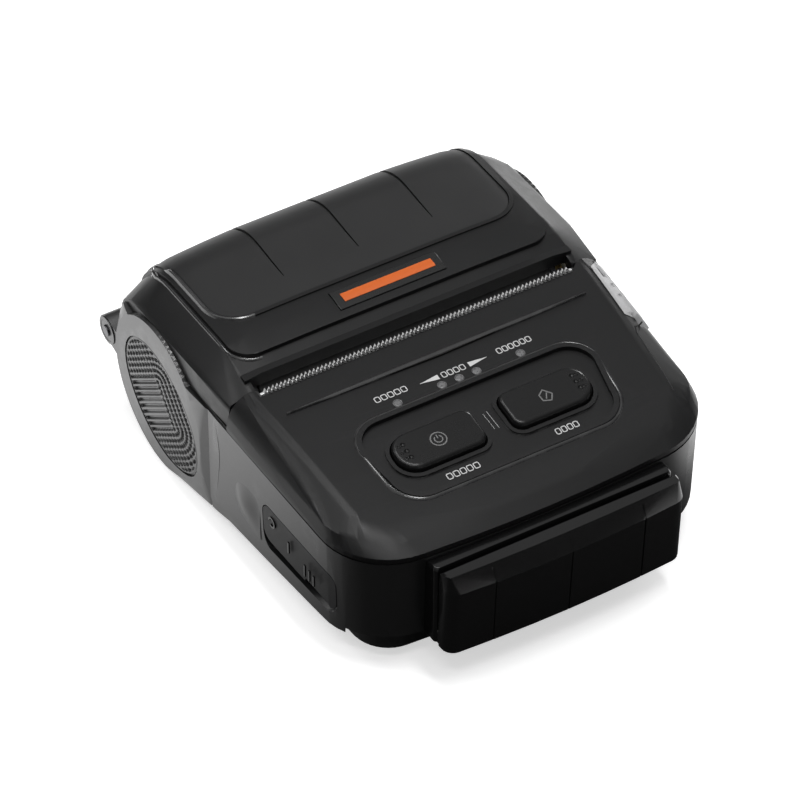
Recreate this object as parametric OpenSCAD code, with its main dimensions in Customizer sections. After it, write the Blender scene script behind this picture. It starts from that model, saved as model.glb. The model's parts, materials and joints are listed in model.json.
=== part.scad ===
/* [Housing] */
// Room between the paper bay and the outside of the case, on each side
side_room = 10.4; // [10.2:0.1:12]
// How much narrower each side is where the front corners begin
front_taper = 1.6; // [0.5:0.1:3]
// Distance from the split plane to the front face
front_len = 60.2; // [58:0.2:70]
// How far the middle of the front face stands out from its ends
front_bow = 1.3; // [0.4:0.1:2]
// Radius of the front corners at the seam
corner_r = 18; // [16:0.5:24]
// Height of the seam above the surface the printer stands on
seam_z = 37; // [36:0.5:40]
// Height of the lower edge of the front walls
skirt_z = 12; // [11.5:0.5:12.5]
// Height of the underside of the tub that is set in under the walls
floor_z = 6; // [5.6:0.2:6.4]
// How far the tub's sides stand back from the walls
tub_inset = 4.2; // [3.8:0.1:4.2]
// How far the side walls lean in towards the bottom, at the front corners
side_draft = 0.7; // [0.2:0.1:1.5]
// How far the front wall leans in towards the bottom
front_draft = 0.7; // [0.2:0.1:1.5]
// Wall thickness of the moulded housings
wall = 2.2; // [1.8:0.1:2.6]
// Height of the step that shows as a dark line at the seam
seam_step_h = 0.6; // [0.3:0.1:1]
// Depth of that step
seam_step_d = 0.5; // [0.2:0.1:0.8]
// Gap left between parts that move past each other
gap = 0.35; // [0.3:0.05:0.45]

/* [Roll end] */
// Radius of the rounded rear end of the lower case
shell_r = 25; // [24:0.2:26]
// How far each side of the rear end bulges out from the front walls
bulge_out = 2.1; // [1.4:0.1:3]
// Radius of the disc on each bulge
bulge_r = 21; // [20.8:0.1:21.4]
// Depth of the groove between the front walls and the bulge
bulge_groove = 0.35; // [0.2:0.05:0.5]
// Inside width of the paper bay
bay_w = 82; // [80:0.5:83]
// Wall thickness of the paper cradle
cradle_wall = 1.4; // [1:0.1:1.6]

/* [Grip panels] */
// Long half axis of the oval grip panel
grip_a = 18.4; // [17:0.2:18.6]
// Short half axis of the oval grip panel
grip_b = 14.4; // [13.6:0.2:15]
// Lean of the oval's long axis
grip_lean = 25; // [0:5:40]
// Thickness of the grip panel
grip_t = 1.6; // [1.2:0.1:2]
// Distance between the grooves of the grip pattern
grip_pitch = 2.1; // [1.8:0.1:3]
// Width of one groove
grip_groove = 0.8; // [0.5:0.1:1]
// Depth of one groove
grip_depth = 0.6; // [0.3:0.1:0.9]

/* [Front cover] */
// How far the flat top's side edges stand in from the case's sides at the split
top_inset = 5.2; // [4.6:0.2:6]
// How much narrower each side of the flat top is at its front corners
top_taper = 3.4; // [2:0.2:4.4]
// Distance from the split to the front edge of the flat top
top_len = 51; // [50:0.2:52]
// Corner radius of the flat top
top_r = 8.6; // [8:0.2:12]
// Height of the top surface at its highest line
top_z = 46.8; // [46:0.2:48]
// Radius of the top surface, seen from the side
top_arc = 321; // [280:1:400]
// Thickness of the front cover
cover_wall = 2; // [1.6:0.1:2.4]
// Width of the control recess at its rear edge
recess_w = 64.6; // [62:0.2:68]
// Width of the control recess at its front edge
recess_w_front = 61; // [58:0.2:66]
// Rear edge of the control recess, from the split
recess_rear = 21.8; // [21:0.2:23]
// Front edge of the control recess, from the split
recess_front = 47.6; // [46:0.2:48]
// Depth of the control recess
recess_depth = 0.7; // [0.4:0.1:1]
// Width of the rounded rim round the recess
rim_w = 1.3; // [0.8:0.1:1.8]
// Height of that rim above the top surface
rim_h = 0.5; // [0.3:0.1:0.8]
// Length of the tapering ridge behind the lamps
ridge_len = 80; // [60:1:84]
// Distance of the ridge from the split
ridge_y = 11; // [10:0.5:13]
// Diameter of one indicator lens
lens_d = 1.8; // [1.4:0.1:2.2]
// Distance of the lenses from the split
lens_y = 20; // [18.5:0.2:20.6]
// Places of the five lenses across the cover
lens_x = [-16.7, -4.7, 0, 4.7, 16.7];

/* [Buttons] */
// Length of one button cap
button_w = 22.4; // [20:0.2:23]
// Width of one button cap
button_d = 10.8; // [9:0.2:12]
// Distance of a button's centre from the middle line
button_x = 14.9; // [14:0.1:15.6]
// Distance of a button's centre from the split
button_y = 34.9; // [34:0.1:35.6]
// Height of a cap's top
button_top_z = 45.9; // [45:0.1:46.5]
// How far a button travels
button_travel = 0.8; // [0.5:0.1:1]
// Clearance round a button
button_gap = 0.4; // [0.3:0.05:0.6]

/* [Tear bar and release] */
// Distance between two teeth
tooth_pitch = 1.1; // [1:0.1:2]
// Height of one tooth
tooth_h = 1.2; // [0.8:0.1:1.6]
// Thickness of the steel tear bar
tear_t = 0.7; // [0.5:0.1:1]
// Height of the tooth tips
tear_z = 46.4; // [45.8:0.1:46.8]
// Width of the paper exit slot
exit_gap = 3.6; // [3.2:0.1:3.9]
// Length of the release lever's cap
lever_len = 20.6; // [18:0.2:22]
// How far the release lever slides
lever_travel = 2.6; // [2:0.1:3]

/* [Lid] */
// Height of the lid's top
lid_top_z = 50.3; // [50:0.1:51.5]
// Radius of the lid's rounded back, seen from the side
lid_back_r = 18; // [16:0.5:20]
// How far the lid's flat top stands in from the case's sides
lid_top_inset = 5.7; // [5:0.1:6.4]
// Height of the lid's widest line
shoulder_z = 43.2; // [42:0.2:44]
// How much the lid's top falls off towards its sides
lid_crown = 1.9; // [0.6:0.1:2.2]
// How far the lid's shoulders stand out over the case's sides
shoulder_out = 0.9; // [0.4:0.1:1.1]
// Step height of the raised plate
plate_step = 0.9; // [0.5:0.1:1.2]
// Half width of the raised plate
plate_half = 43.4; // [42:0.2:44]
// Front edge of the raised plate, from the split
plate_y = 8; // [7:0.2:9]
// Half width of the rubber pad
pad_half = 41; // [38:0.2:42]
// Front edge of the rubber pad, from the split
pad_y = 19.6; // [18:0.2:24]
// Depth of the pad's pocket
pad_depth = 1.3; // [1:0.1:1.5]
// Number of fields the pad is divided into
pad_fields = 4; // [2:1:6]
// Width of a pad groove
pad_groove = 0.9; // [0.5:0.1:1.4]
// Width of the badge plate
badge_w = 29; // [20:1:40]
// Depth of the badge plate
badge_d = 6; // [4:0.2:8]
// Distance of the badge plate's middle from the split
badge_y = 13.2; // [12.4:0.2:14]

/* [Hinge] */
// Height of the hinge axis
hinge_z = 22; // [20:0.5:24]
// Outside radius of the knuckles
knuckle_r = 4; // [3.5:0.1:4.4]
// Radius of the steel hinge pin
pin_r = 1.5; // [1.2:0.1:1.8]
// Radial running clearance of pins and shafts
fit = 0.05; // [0.02:0.01:0.08]
// Length of each fixed knuckle
end_knuckle = 5.6; // [5:0.1:7]

/* [Platen and gears] */
// Distance of the platen axis behind the split
platen_y = 7.6; // [7.4:0.1:8]
// Height of the platen axis
platen_z = 38.5; // [38.2:0.1:38.8]
// Radius of the rubber roller
platen_r = 4.6; // [4.2:0.1:4.8]
// Radius of the platen shaft
shaft_r = 2; // [1.8:0.1:2.2]
// Gear module, pitch diameter per tooth
gear_m = 0.5; // [0.48:0.01:0.52]
// Teeth of the platen gear
platen_teeth = 20; // [20:1:20]
// Teeth of the idler gear
idler_teeth = 36; // [36:1:36]
// Teeth of the motor pinion
pinion_teeth = 12; // [12:1:12]
// Face width of the gears
gear_w = 2.3; // [1.8:0.1:2.4]
// Play between meshing teeth, measured on the pitch circle
backlash = 0.12; // [0.1:0.01:0.16]
// Direction from the platen axis to the idler axis, below the front
idler_dir = 230; // [226:1:234]
// Direction from the idler axis to the pinion axis
pinion_dir = 172; // [170:1:174]
// Radius of the stepper motor
motor_r = 7; // [6:0.1:7.1]
// Length of the stepper motor
motor_len = 20; // [16:0.5:24]

/* [Battery] */
// Width of the battery pack
battery_w = 66; // [60:1:68]
// Length of the battery pack
battery_l = 38; // [36:1:40]
// Height of the battery pack
battery_h = 19.4; // [18:0.2:20]
// Front end of the battery pack, from the split
battery_front = 48; // [46:0.5:49]
// How far the battery latch slides
latch_travel = 2.4; // [2:0.1:3]

/* [Card reader] */
// Width of the card reader
reader_w = 63.6; // [58:0.2:68]
// Height of the reader's lower face
reader_z0 = 12.7; // [12.2:0.1:14]
// How far the reader's front leans in towards the bottom
reader_lean = 1.2; // [0:0.1:2]
// Height of the outer block's top
reader_top = 37.2; // [36.8:0.1:39]
// Width of the card slot
card_slot = 1.5; // [1.2:0.1:1.8]
// Thickness of the rear block at its top
reader_rear_t = 3; // [2.8:0.1:4]
// Radius of the screws' threads
screw_r = 1.4; // [1.2:0.1:1.5]
// Thickness of the outer block
reader_front_t = 6.5; // [5.4:0.1:7]

/* [Port flap] */
// Rear end of the flap, from the split
flap_rear = 15.6; // [15:0.1:17]
// Length of the flap
flap_len = 30.6; // [28:0.2:31]
// Height of the flap's lower edge
flap_z0 = 15.6; // [15:0.1:17]
// Height of the flap's upper edge
flap_z1 = 27; // [25:0.2:28]
// Thickness of the flap
flap_t = 1.8; // [1.4:0.1:2]

/* [Hidden] */
$fn = 48;
eps = 0.01;
far = 90;
case_w = bay_w + 2 * side_room;
half = case_w / 2;
shell_w = case_w + 2 * bulge_out;
roll_z = shell_r;
roll_y = shell_r + 4;
lid_back = roll_y + shell_r + 4;
hinge_y = lid_back + 0.6;
knuckle_x = shell_w / 2 - 0.7;
platen_len = bay_w - 2;
tear_len = bay_w + 2.4;
top_half = half - top_inset;
lid_top_half = half - lid_top_inset;
disc_c = [roll_y + 3.8, roll_z - 3.8];
disc_x = half - 0.5;
grip_c = [roll_y + 2.1, roll_z - 5.3];
port_z = skirt_z + wall + 0.1;
port_t = 1.2;
split_y = -0.3;
lid_y0 = split_y + gap + 0.05;
lid_z0 = seam_z + gap;
bay_r = shell_r - wall - 0.3 - cradle_wall;
taper_y = 6;
cover_tilt = asin((button_y + 5) / top_arc);
tear_y = split_y - 0.05;
lip_y = tear_y + exit_gap;
board_z = seam_z - 2.8;
board_t = 1.6;
switch_top = board_z + board_t + 3.1;
flange_z = switch_top + button_travel + 0.1;
plate_x0 = bay_w / 2 + 1.1;
plate_t = 1.4;
gear_x0 = plate_x0 + plate_t + 0.5;
idler_d = gear_m * (platen_teeth + idler_teeth) / 2;
pinion_d = gear_m * (idler_teeth + pinion_teeth) / 2;
platen_c = [platen_y, platen_z];
idler_c = platen_c + idler_d * [cos(idler_dir), sin(idler_dir)];
pinion_c = idler_c + pinion_d * [cos(pinion_dir), sin(pinion_dir)];
platen_phase = idler_dir;
idler_phase = idler_dir + 180 + 180 / idler_teeth;
pinion_phase = pinion_dir + 180 - (idler_phase - pinion_dir) * idler_teeth / pinion_teeth + 180 / pinion_teeth;
ear_x0 = platen_len / 2 + 0.3;
ear_t = 1.4;
head_half = platen_len / 2 - 0.6;
head_y = platen_y - platen_r - 0.4;
head_top = platen_z + 3.5;
head_pivot = [head_y - 3.1, platen_z - 11.5];
frame_wall_y = head_y - 8.5;
screw_at = [[38.1, -41.6], [38.1, -4]];
bay_half = battery_w / 2 + gap;
bay_front = -battery_front - gap;
bay_rear = battery_l - battery_front + gap;
bay_top = battery_h + 0.4 + gap;
bay_wall = 1.5;
contact_x = [-9, -3, 3, 9];
black = [0.035, 0.035, 0.038];
case_grey = [0.12, 0.12, 0.13];
rubber_grey = [0.06, 0.06, 0.063];
steel = [0.75, 0.76, 0.78];
board_green = [0.05, 0.25, 0.12];
inner_grey = [0.25, 0.25, 0.27];

// Points of an arc about c, from angle a0 to a1 in n steps
function arc(c, r, a0, a1, n) = [for (i = [0 : n]) let (a = a0 + (a1 - a0) * i / n) c + r * [cos(a), sin(a)]];

// Plan of the front half: straight sides that taper to round front corners
function front_plan(h_rear, h_front, y_front, r) = let (e = h_front - r) concat(
    [[h_rear, roll_y], [h_rear, taper_y]],
    arc([e, y_front + front_bow + r], r, 0, -86, 10),
    bowed(e, y_front, front_bow, [2 : -1 : -2]),
    arc([-e, y_front + front_bow + r], r, -94, -180, 10),
    [[-h_rear, taper_y], [-h_rear, roll_y]]);

// Points of a line across the width whose middle stands out by bow, at thirds of the half width e
function bowed(e, y, bow, steps) = [for (k = steps) [k * e / 3, y + bow * k * k / 9]];

// Rounded outline, symmetrical in x, hr and hf wide at its rear yr and front yf
function rounded(hr, hf, yr, yf, r, n = 8) = concat(
    arc([hr - r, yr - r], r, 90, 0, n), arc([hf - r, yf + r], r, 0, -90, n),
    arc([r - hf, yf + r], r, -90, -180, n), arc([r - hr, yr - r], r, 180, 90, n));

// Outline of a button: its outer end is rounder than its inner end
function button_plan(g, s) = let (w = button_w / 2 + g, d = button_d / 2 + g, ri = 2.6 + g, ro = 4.9 + g)
    [for (p = concat(arc([w - ro, d - ro], ro, 90, 0, 10), arc([w - ro, ro - d], ro, 0, -90, 10),
        arc([ri - w, ri - d], ri, -90, -180, 6), arc([ri - w, d - ri], ri, 180, 90, 6)))
        [s * (p[0] + button_x), p[1] - button_y]];

// Involute gear outline with its teeth on phase
function inv(a) = tan(a) - a * PI / 180;
function gear_plan(n, phase) = let (rp = gear_m * n / 2, rb = rp * cos(20), ra = rp + gear_m,
        rr = rp - 1.25 * gear_m, r0 = max(rb * 1.001, rr), hp = (PI * gear_m / 2 - backlash) / (2 * rp),
        h = function(r) (hp + inv(20) - inv(acos(rb / r))) * 180 / PI,
        flank = [for (i = [0 : 3]) r0 + (ra - r0) * i / 3])
    [for (k = [0 : n - 1], q = concat([[rr, -h(r0)]], [for (r = flank) [r, -h(r)]],
        [for (i = [3 : -1 : 0]) [flank[i], h(flank[i])]], [[rr, h(r0)]]))
        let (a = phase + 360 * k / n + q[1]) q[0] * [cos(a), sin(a)]];

// Oval outline with its long axis leaning by grip_lean
function oval(a, b, n = 72) = [for (i = [0 : n - 1]) let (t = 360 * i / n, u = a * cos(t), v = b * sin(t))
    [u * cos(grip_lean) - v * sin(grip_lean), u * sin(grip_lean) + v * cos(grip_lean)]];

// Side view of the lid's outer form, drawn in by i and lowered by c, less so at the front
function lid_side(i, c) = let (top = lid_top_z - i, r = lid_back_r - i) concat(
    [[i, roll_z], [i, top - 2.9 - 0.3 * c], [3.5 + i, top - 2.1 - 0.3 * c], [8.5 + i, top - 0.7 - 0.4 * c],
        [14 + i, top - 0.5 * c], [28 + i, top - 0.8 * c]],
    [for (p = arc([lid_back - lid_back_r, lid_top_z - lid_back_r], r, 90, 0, 12)) p - [0.4 * c, c]],
    [[lid_back - i - 0.4 * c, hinge_z + 5], [roll_y, hinge_z + 5]]);

// Extrudes a side view, drawn as y and z, across the width
module across(x0, x1) {
    translate([x0, 0, 0]) rotate([90, 0, 90]) linear_extrude(x1 - x0) children();
}

// The same on both sides of the middle plane
module both(x0, x1) {
    across(x0, x1) children();
    across(-x1, -x0) children();
}

// Extrudes a front view, drawn as x and z, along the depth
module deep(y0, y1) {
    translate([0, y1, 0]) rotate([90, 0, 0]) linear_extrude(y1 - y0) children();
}

// A rod across the width
module rod(x0, x1, c, r) {
    translate([x0, c[0], c[1]]) rotate([0, 90, 0]) cylinder(h = x1 - x0, r = r);
}

module box(a, b) {
    translate(a) cube(b - a);
}

module post(x, y, z0, z1, r) {
    translate([x, y, z0]) cylinder(h = z1 - z0, r = r);
}

// Outer form of the front walls, drawn in by i
module front_body(i, z_low, z_high) {
    hull() for (z = [z_low, z_high - eps]) let (lean = (seam_z - z) / (seam_z - skirt_z))
        translate([0, 0, z]) linear_extrude(eps) polygon(front_plan(half - i,
            half - front_taper - i - side_draft * lean, i + front_draft * lean - front_len,
            corner_r - i - side_draft * lean));
}

// Plan of the tub under the walls, drawn in by i
module tub_plan(i) {
    polygon(front_plan(half - tub_inset - i, half - tub_inset - 3.1 - i, i + 3.7 - front_len, 10 - i));
}

// Side view of the disc on each bulge, grown by g
module disc_side(g) {
    translate(disc_c) circle(bulge_r + g, $fn = 96);
}

// What is left away in front of the bulge, with a shallow groove along its front edge
module bulge_front() {
    y = 8.6;
    x = half - bulge_groove;
    for (s = [-1, 1]) scale([s, 1, 1]) linear_extrude(far) polygon([[x, y], [half + 0.002, y - 0.4],
        [half + 0.002, 0], [x + 4, 0], [x + 4, y + 4.8]]);
}

// Flap outline as a side view, grown by g
module flap_side(g) {
    h = (flap_z1 - flap_z0) / 2;
    polygon([for (p = rounded(flap_len / 2 + g, flap_len / 2 + g, h + g, -h - g, 3 + g))
        [p[0] - flap_rear - flap_len / 2, p[1] + flap_z0 + h]]);
}

module grip_side(g) {
    translate(grip_c) polygon(oval(grip_a + g, grip_b + g));
}

module lower_case() {
    color(case_grey)
    difference() {
        union() {
            difference() {
                union() {
                    front_body(0, skirt_z, seam_z);
                    translate([0, 0, floor_z]) linear_extrude(skirt_z - floor_z + 1) tub_plan(0);
                    difference() {
                        hull() {
                            across(-half, half) translate([roll_y, roll_z]) circle(shell_r, $fn = 96);
                            across(-shell_w / 2, shell_w / 2) disc_side(0);
                        }
                        bulge_front();
                    }
                }
                // The discs stand up over the seam on both sides of the lid
                difference() {
                    box([-far, -far, seam_z], [far, far, far]);
                    both(disc_x, far) disc_side(0);
                }
                front_body(wall, skirt_z + wall, seam_z + 1);
                translate([0, 0, floor_z + wall]) linear_extrude(skirt_z - floor_z + 0.5) tub_plan(wall);
                rod(wall + 0.4 - half, half - wall - 0.4, [roll_y, roll_z], shell_r - wall);
            }
            for (p = screw_at, s = [-1, 1]) post(s * p[0], p[1], floor_z + 1, floor_z + 7, 3);
            for (y = [-41, -21]) post(10.6 - half, y, floor_z + 1, port_z, 1.6);
            // Wall behind the port flap
            intersection() {
                box([-half, -flap_rear - flap_len - 1.5, flap_z0 - 2.5],
                    [5.6 - half, 1.5 - flap_rear, flap_z1 + 2.5]);
                front_body(0.5, skirt_z, seam_z);
            }
            // Outer knuckles of the lid hinge
            both(half - end_knuckle, knuckle_x) {
                translate([hinge_y, hinge_z]) circle(knuckle_r);
                polygon([[roll_y + 21, hinge_z - 5.5], [roll_y + 21, hinge_z + 2.5],
                    [hinge_y - 2, hinge_z + knuckle_r - 0.7], [hinge_y - 1.5, hinge_z - knuckle_r + 0.4]]);
            }
        }
        box([-bay_half, bay_front, -1], [bay_half, bay_rear, bay_top]);
        for (p = screw_at, s = [-1, 1]) post(s * p[0], p[1], floor_z - 1, floor_z + 6, screw_r + fit);
        // Step that shows as a dark line along the seam
        difference() {
            box([-far, -far, seam_z - seam_step_h], [far, roll_y + 14, seam_z + 1]);
            front_body(seam_step_d, skirt_z, seam_z + 2);
            box([seam_step_d - half, 0, 0], [half - seam_step_d, far, far]);
            both(half - 1, far) disc_side(0);
        }
        difference() {
            across(-far, -half / 2) flap_side(0.25);
            front_body(flap_t + 0.1, skirt_z, seam_z);
        }
        rod(-far, 8 - half, [-26.6, flap_z0 + 5.8], 3.9);
        box([-far, -41.6, flap_z0 + 2.2], [8 - half, -33.8, flap_z0 + 6.8]);
        both(shell_w / 2 - grip_t, far) grip_side(0.15);
        rod(-far, far, [hinge_y, hinge_z], pin_r);
    }
}

// Insert that forms the battery bay, with seats for the main board
module battery_bay() {
    color(inner_grey)
    difference() {
        union() {
            box([-bay_half - bay_wall, bay_front - bay_wall, floor_z + wall],
                [bay_half + bay_wall, bay_rear + bay_wall, bay_top + bay_wall]);
            for (x = [-28, 28], y = [-45, -26]) post(x, y, bay_top, bay_top + bay_wall + 2.2, 2.4);
        }
        box([-bay_half, bay_front, -1], [bay_half, bay_rear, bay_top]);
        for (x = contact_x) box([x - 1.6, bay_front + 2, bay_top - 1], [x + 1.6, bay_front + 7, bay_top + 4]);
    }
}

module base_outline(g) {
    polygon([for (p = front_plan(half - 7 + g, half - 9 + g, 7.2 - front_len - g, 11 + g)) [p[0], min(p[1], 1.6)]]);
}

module base_plate() {
    color(black)
    difference() {
        union() {
            translate([0, 0, 2.4]) linear_extrude(floor_z - 2.45) base_outline(0);
            hull() {
                linear_extrude(eps) base_outline(-1.2);
                translate([0, 0, 2.4]) linear_extrude(eps) base_outline(0);
            }
        }
        box([-bay_half, bay_front, -1], [bay_half, bay_rear, 10]);
        box([-7.4, bay_rear - 1, -1], [7.4, -0.9, 1.5]);
        box([-8.8, bay_rear - 1, 1.4], [8.8, -0.9, 2.8]);
        for (p = screw_at, s = [-1, 1]) {
            post(s * p[0], p[1], -1, 10, screw_r + 0.2);
            post(s * p[0], p[1], -1, 2.6, 2.8);
        }
    }
}

module case_screws() {
    color(steel)
    for (p = screw_at, s = [-1, 1]) {
        difference() {
            post(s * p[0], p[1], 0.9, 2.6, 2.6);
            translate([s * p[0], p[1], 0]) linear_extrude(1.7) for (a = [0, 90]) rotate(a)
                square([3.2, 0.7], center = true);
        }
        post(s * p[0], p[1], 2.6, floor_z + 5.5, screw_r);
    }
}

// Oval panel with nested grooves: rows on the rear half, arcs that follow the front edge
module grip_panel() {
    x1 = shell_w / 2;
    difference() {
        across(x1 - grip_t, x1 + 0.1) grip_side(0);
        intersection() {
            across(x1 - grip_depth, x1 + 1) grip_side(-1.3);
            translate([0, grip_c[0], grip_c[1]]) rotate([grip_lean, 0, 0]) {
                for (k = [-6 : 6]) box([x1 - grip_depth, 0.8 * abs(k) - 1, k * grip_pitch - grip_groove / 2],
                    [x1 + 1, far, k * grip_pitch + grip_groove / 2]);
                difference() {
                    for (k = [1 : 9]) let (r = 26.2 - k * grip_pitch) across(x1 - grip_depth, x1 + 1)
                        difference() {
                            translate([8, 0]) circle(r);
                            translate([8, 0]) circle(r - grip_groove);
                        }
                    box([0, -1.6, -far], [far, far, far]);
                }
            }
        }
    }
}

module right_grip_panel() {
    color(case_grey) grip_panel();
}

module left_grip_panel() {
    color(case_grey) mirror([1, 0, 0]) grip_panel();
}

// Everything under the curved top surface, raised by h
module under_top(h) {
    across(-60, 60) intersection() {
        translate([5, top_z - top_arc]) circle(top_arc + h, $fn = 360);
        translate([-80, 20]) square([160, 60]);
    }
}

// Outer form of the front cover, drawn in by i
module cover_body(i) {
    hull() {
        translate([0, 0, seam_z - i]) linear_extrude(1.3)
            polygon(front_plan(half - i, half - front_taper - i, i - front_len, corner_r - i));
        translate([0, 0, seam_z + 3.8 - i]) linear_extrude(eps)
            polygon(front_plan(half - 0.9 - i, half - front_taper - 0.9 - i, i + 4.4 - front_len, corner_r - 3 - i));
        intersection() {
            linear_extrude(60) polygon(front_plan(top_half - i, top_half - top_taper - i, i - top_len, top_r - i));
            under_top(-i);
            box([-60, -60, seam_z + 4.4 - i], [60, roll_y, 60]);
        }
    }
}

module recess_plan(i) {
    polygon(rounded(recess_w / 2 - i, recess_w_front / 2 - i, -recess_rear - i, i - recess_front, 8 - i));
}

// Section of the release lever, drawn as x and z, grown by g, from height h0 over the bevel down to h1
module lever_section(g, h0 = 0.25, h1 = -3.3) {
    d = [0.79, -0.61] * g;
    n = [0.61, 0.79];
    high = [half - 4.3, seam_z + 7.25];
    low = [half - 0.1, seam_z + 1.8];
    intersection() {
        polygon([high - d + n * h0, low + d + n * h0, low + d + n * (h1 - g), high - d + n * (h1 - g)]);
        translate([0, seam_z + 0.6 - g]) square([60, 10]);
    }
}

module top_cover() {
    color(black)
    difference() {
        union() {
            difference() {
                cover_body(0);
                cover_body(cover_wall);
                box([-far, -far, 0], [far, far, seam_z]);
            }
            intersection() {
                cover_body(0);
                box([-tear_len / 2 - 2, -3.4, head_top + 1], [tear_len / 2 + 2, 0, 60]);
            }
            // Rim of the control recess, and the ridge behind the lamps
            intersection() {
                translate([0, 0, seam_z + 4]) linear_extrude(20) difference() {
                    recess_plan(0);
                    recess_plan(rim_w);
                }
                under_top(rim_h);
            }
            intersection() {
                translate([0, -ridge_y, seam_z + 6]) linear_extrude(20)
                    polygon([[-ridge_len / 2, 0], [0, 1], [ridge_len / 2, 0], [0, -0.9]]);
                under_top(rim_h);
            }
            for (x = [-30.4, 30.4], y = [-24, -45]) intersection() {
                post(x, y, board_z + board_t, 60, 2.2);
                under_top(-1);
            }
            for (s = [-1, 1]) intersection() {
                linear_extrude(60) polygon(button_plan(button_gap + 1, s));
                difference() {
                    under_top(0.2 - recess_depth);
                    under_top(-cover_wall - 0.6);
                }
            }
        }
        difference() {
            translate([0, 0, seam_z]) linear_extrude(30) difference() {
                recess_plan(rim_w);
                for (s = [-1, 1]) polygon(button_plan(button_gap + 1, s));
            }
            under_top(-recess_depth);
        }
        for (s = [-1, 1]) translate([0, 0, seam_z]) linear_extrude(30) polygon(button_plan(button_gap, s));
        for (x = lens_x) post(x, -lens_y, seam_z, 60, lens_d / 2 + fit);
        box([-far, split_y, 0], [far, far, far]);
        // Seat of the tear bar, with a bevel in front of it
        box([-tear_len / 2 - 0.6, tear_y - tear_t, 0], [tear_len / 2 + 0.6, 1, 60]);
        bar_bevel();
        // Slot of the release lever, and the channel of its backing plate inside
        deep(-lever_len - 1.5 - lever_travel - gap, -1.2) lever_section(gap, 3);
        deep(-lever_len - 2.3 - 2 * lever_travel - gap, -1.2) lever_section(gap, gap - 3.2, -6);
    }
}

module bar_bevel() {
    low = tear_z - tooth_h - 0.2;
    across(-tear_len / 2 - 0.6, tear_len / 2 + 0.6)
        polygon([[-2.9, top_z + 1], [-2.9, top_z - 0.15], [tear_y - tear_t, low], [1, low], [1, top_z + 1]]);
}

module tear_bar() {
    n = floor(tear_len / tooth_pitch);
    x0 = -n * tooth_pitch / 2;
    color(steel) deep(tear_y - tear_t, tear_y) polygon(concat(
        [[tear_len / 2 + 0.5, tear_z - tooth_h], [tear_len / 2 + 0.5, head_top + 1.1],
            [-tear_len / 2 - 0.5, head_top + 1.1], [-tear_len / 2 - 0.5, tear_z - tooth_h]],
        [for (k = [0 : n - 1], q = [[0.12, 0], [0.5, 1], [0.88, 0]])
            [x0 + (k + q[0]) * tooth_pitch, tear_z - tooth_h + q[1] * tooth_h]]));
}

module indicator_lenses() {
    color([0.3, 0.3, 0.32])
    for (x = lens_x) intersection() {
        post(x, -lens_y, board_z + board_t, 60, lens_d / 2);
        under_top(0.05);
    }
}

// A cap that follows the slope of the cover, with a flange and a stem under it
module button(s) {
    color(black)
    difference() {
        union() {
            hull() for (q = [[0, -1.4], [0, -0.9], [0.35, -0.3], [1, 0]])
                translate([0, -button_y, button_top_z + q[1]]) rotate([cover_tilt, 0, 0])
                    translate([0, button_y, 0]) linear_extrude(eps) polygon(button_plan(-q[0], s));
            translate([0, 0, flange_z]) linear_extrude(button_top_z - 1.4 - flange_z) polygon(button_plan(-0.1, s));
            translate([0, 0, flange_z]) linear_extrude(1) polygon(button_plan(0.9, s));
        }
        // Hollow from below, with a stem over the switch
        translate([0, 0, flange_z - 1]) linear_extrude(button_top_z - 2 - flange_z) difference() {
            polygon(button_plan(-1.6, s));
            translate([s * button_x, -button_y]) circle(2);
        }
        for (k = [-1, 0, 1]) translate([s * (button_x + button_w / 2 - 3.2), -button_y, button_top_z + 0.4])
            rotate([cover_tilt, 0, 0]) translate([0, 2 * k, 0]) sphere(0.75);
    }
}

module power_button() {
    button(-1);
}

module feed_button() {
    button(1);
}

module key_switches() {
    color(inner_grey)
    for (s = [-1, 1]) {
        box([s * button_x - 3, -button_y - 3, board_z + board_t], [s * button_x + 3, 3 - button_y, switch_top - 0.5]);
        post(s * button_x, -button_y, switch_top - 0.5, switch_top, 1.6);
    }
}

module panel_board() {
    color(board_green)
    difference() {
        box([-33, -48, board_z], [33, 1.2 - lens_y, board_z + board_t]);
        for (x = [-30.4, 30.4], y = [-24, -45]) post(x, y, 0, 60, 1.1);
    }
}

module main_board() {
    z = bay_top + bay_wall + 2.2;
    color(board_green)
    difference() {
        union() {
            box([-33, -49, z], [33, -22, z + board_t]);
            box([-14, -44, z + board_t], [2, -30, z + board_t + 1.4]);
            box([8, -46, z + board_t], [24, -36, z + board_t + 2.6]);
            for (x = [-28, -22]) post(x, -40, z + board_t, z + board_t + 5, 2.4);
        }
        for (x = [-28, 28], y = [-45, -26]) post(x, y, 0, 60, 1.1);
    }
}

module release_lever() {
    color([0.62, 0.62, 0.63]) {
        difference() {
            deep(-lever_len - 1.5, -1.5) lever_section(0);
            for (k = [0 : 2]) translate([half - 1.5, -5.8 - 3.9 * k, seam_z + 5]) rotate([0, 37.7, 0])
                box([-2.2, -0.5, 0.25], [2.6, 0.5, 3]);
        }
        deep(-lever_len - 1.5 - lever_travel - 0.8, -1.5) lever_section(0, -3.2, -4.6);
        box([gear_x0 - 0.6, -13, board_z + 4.2], [half - 5, -10, board_z + 5.6]);
    }
}

module latch_bar() {
    color(inner_grey) {
        box([-ear_x0 - ear_t, -13, board_z + 4.2], [gear_x0 - 0.6, -10, board_z + 6.2]);
        both(ear_x0, ear_x0 + ear_t) polygon([[-13, board_z + 6.2], [-8.5, board_z + 8], [head_y - 0.2, board_z + 8],
            [head_y + 0.5, platen_z], [head_y - 1, platen_z], [head_y - 1.8, board_z + 6.6], [-8, board_z + 6.6],
            [-10, board_z + 4.2], [-13, board_z + 4.2]]);
    }
}

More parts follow.
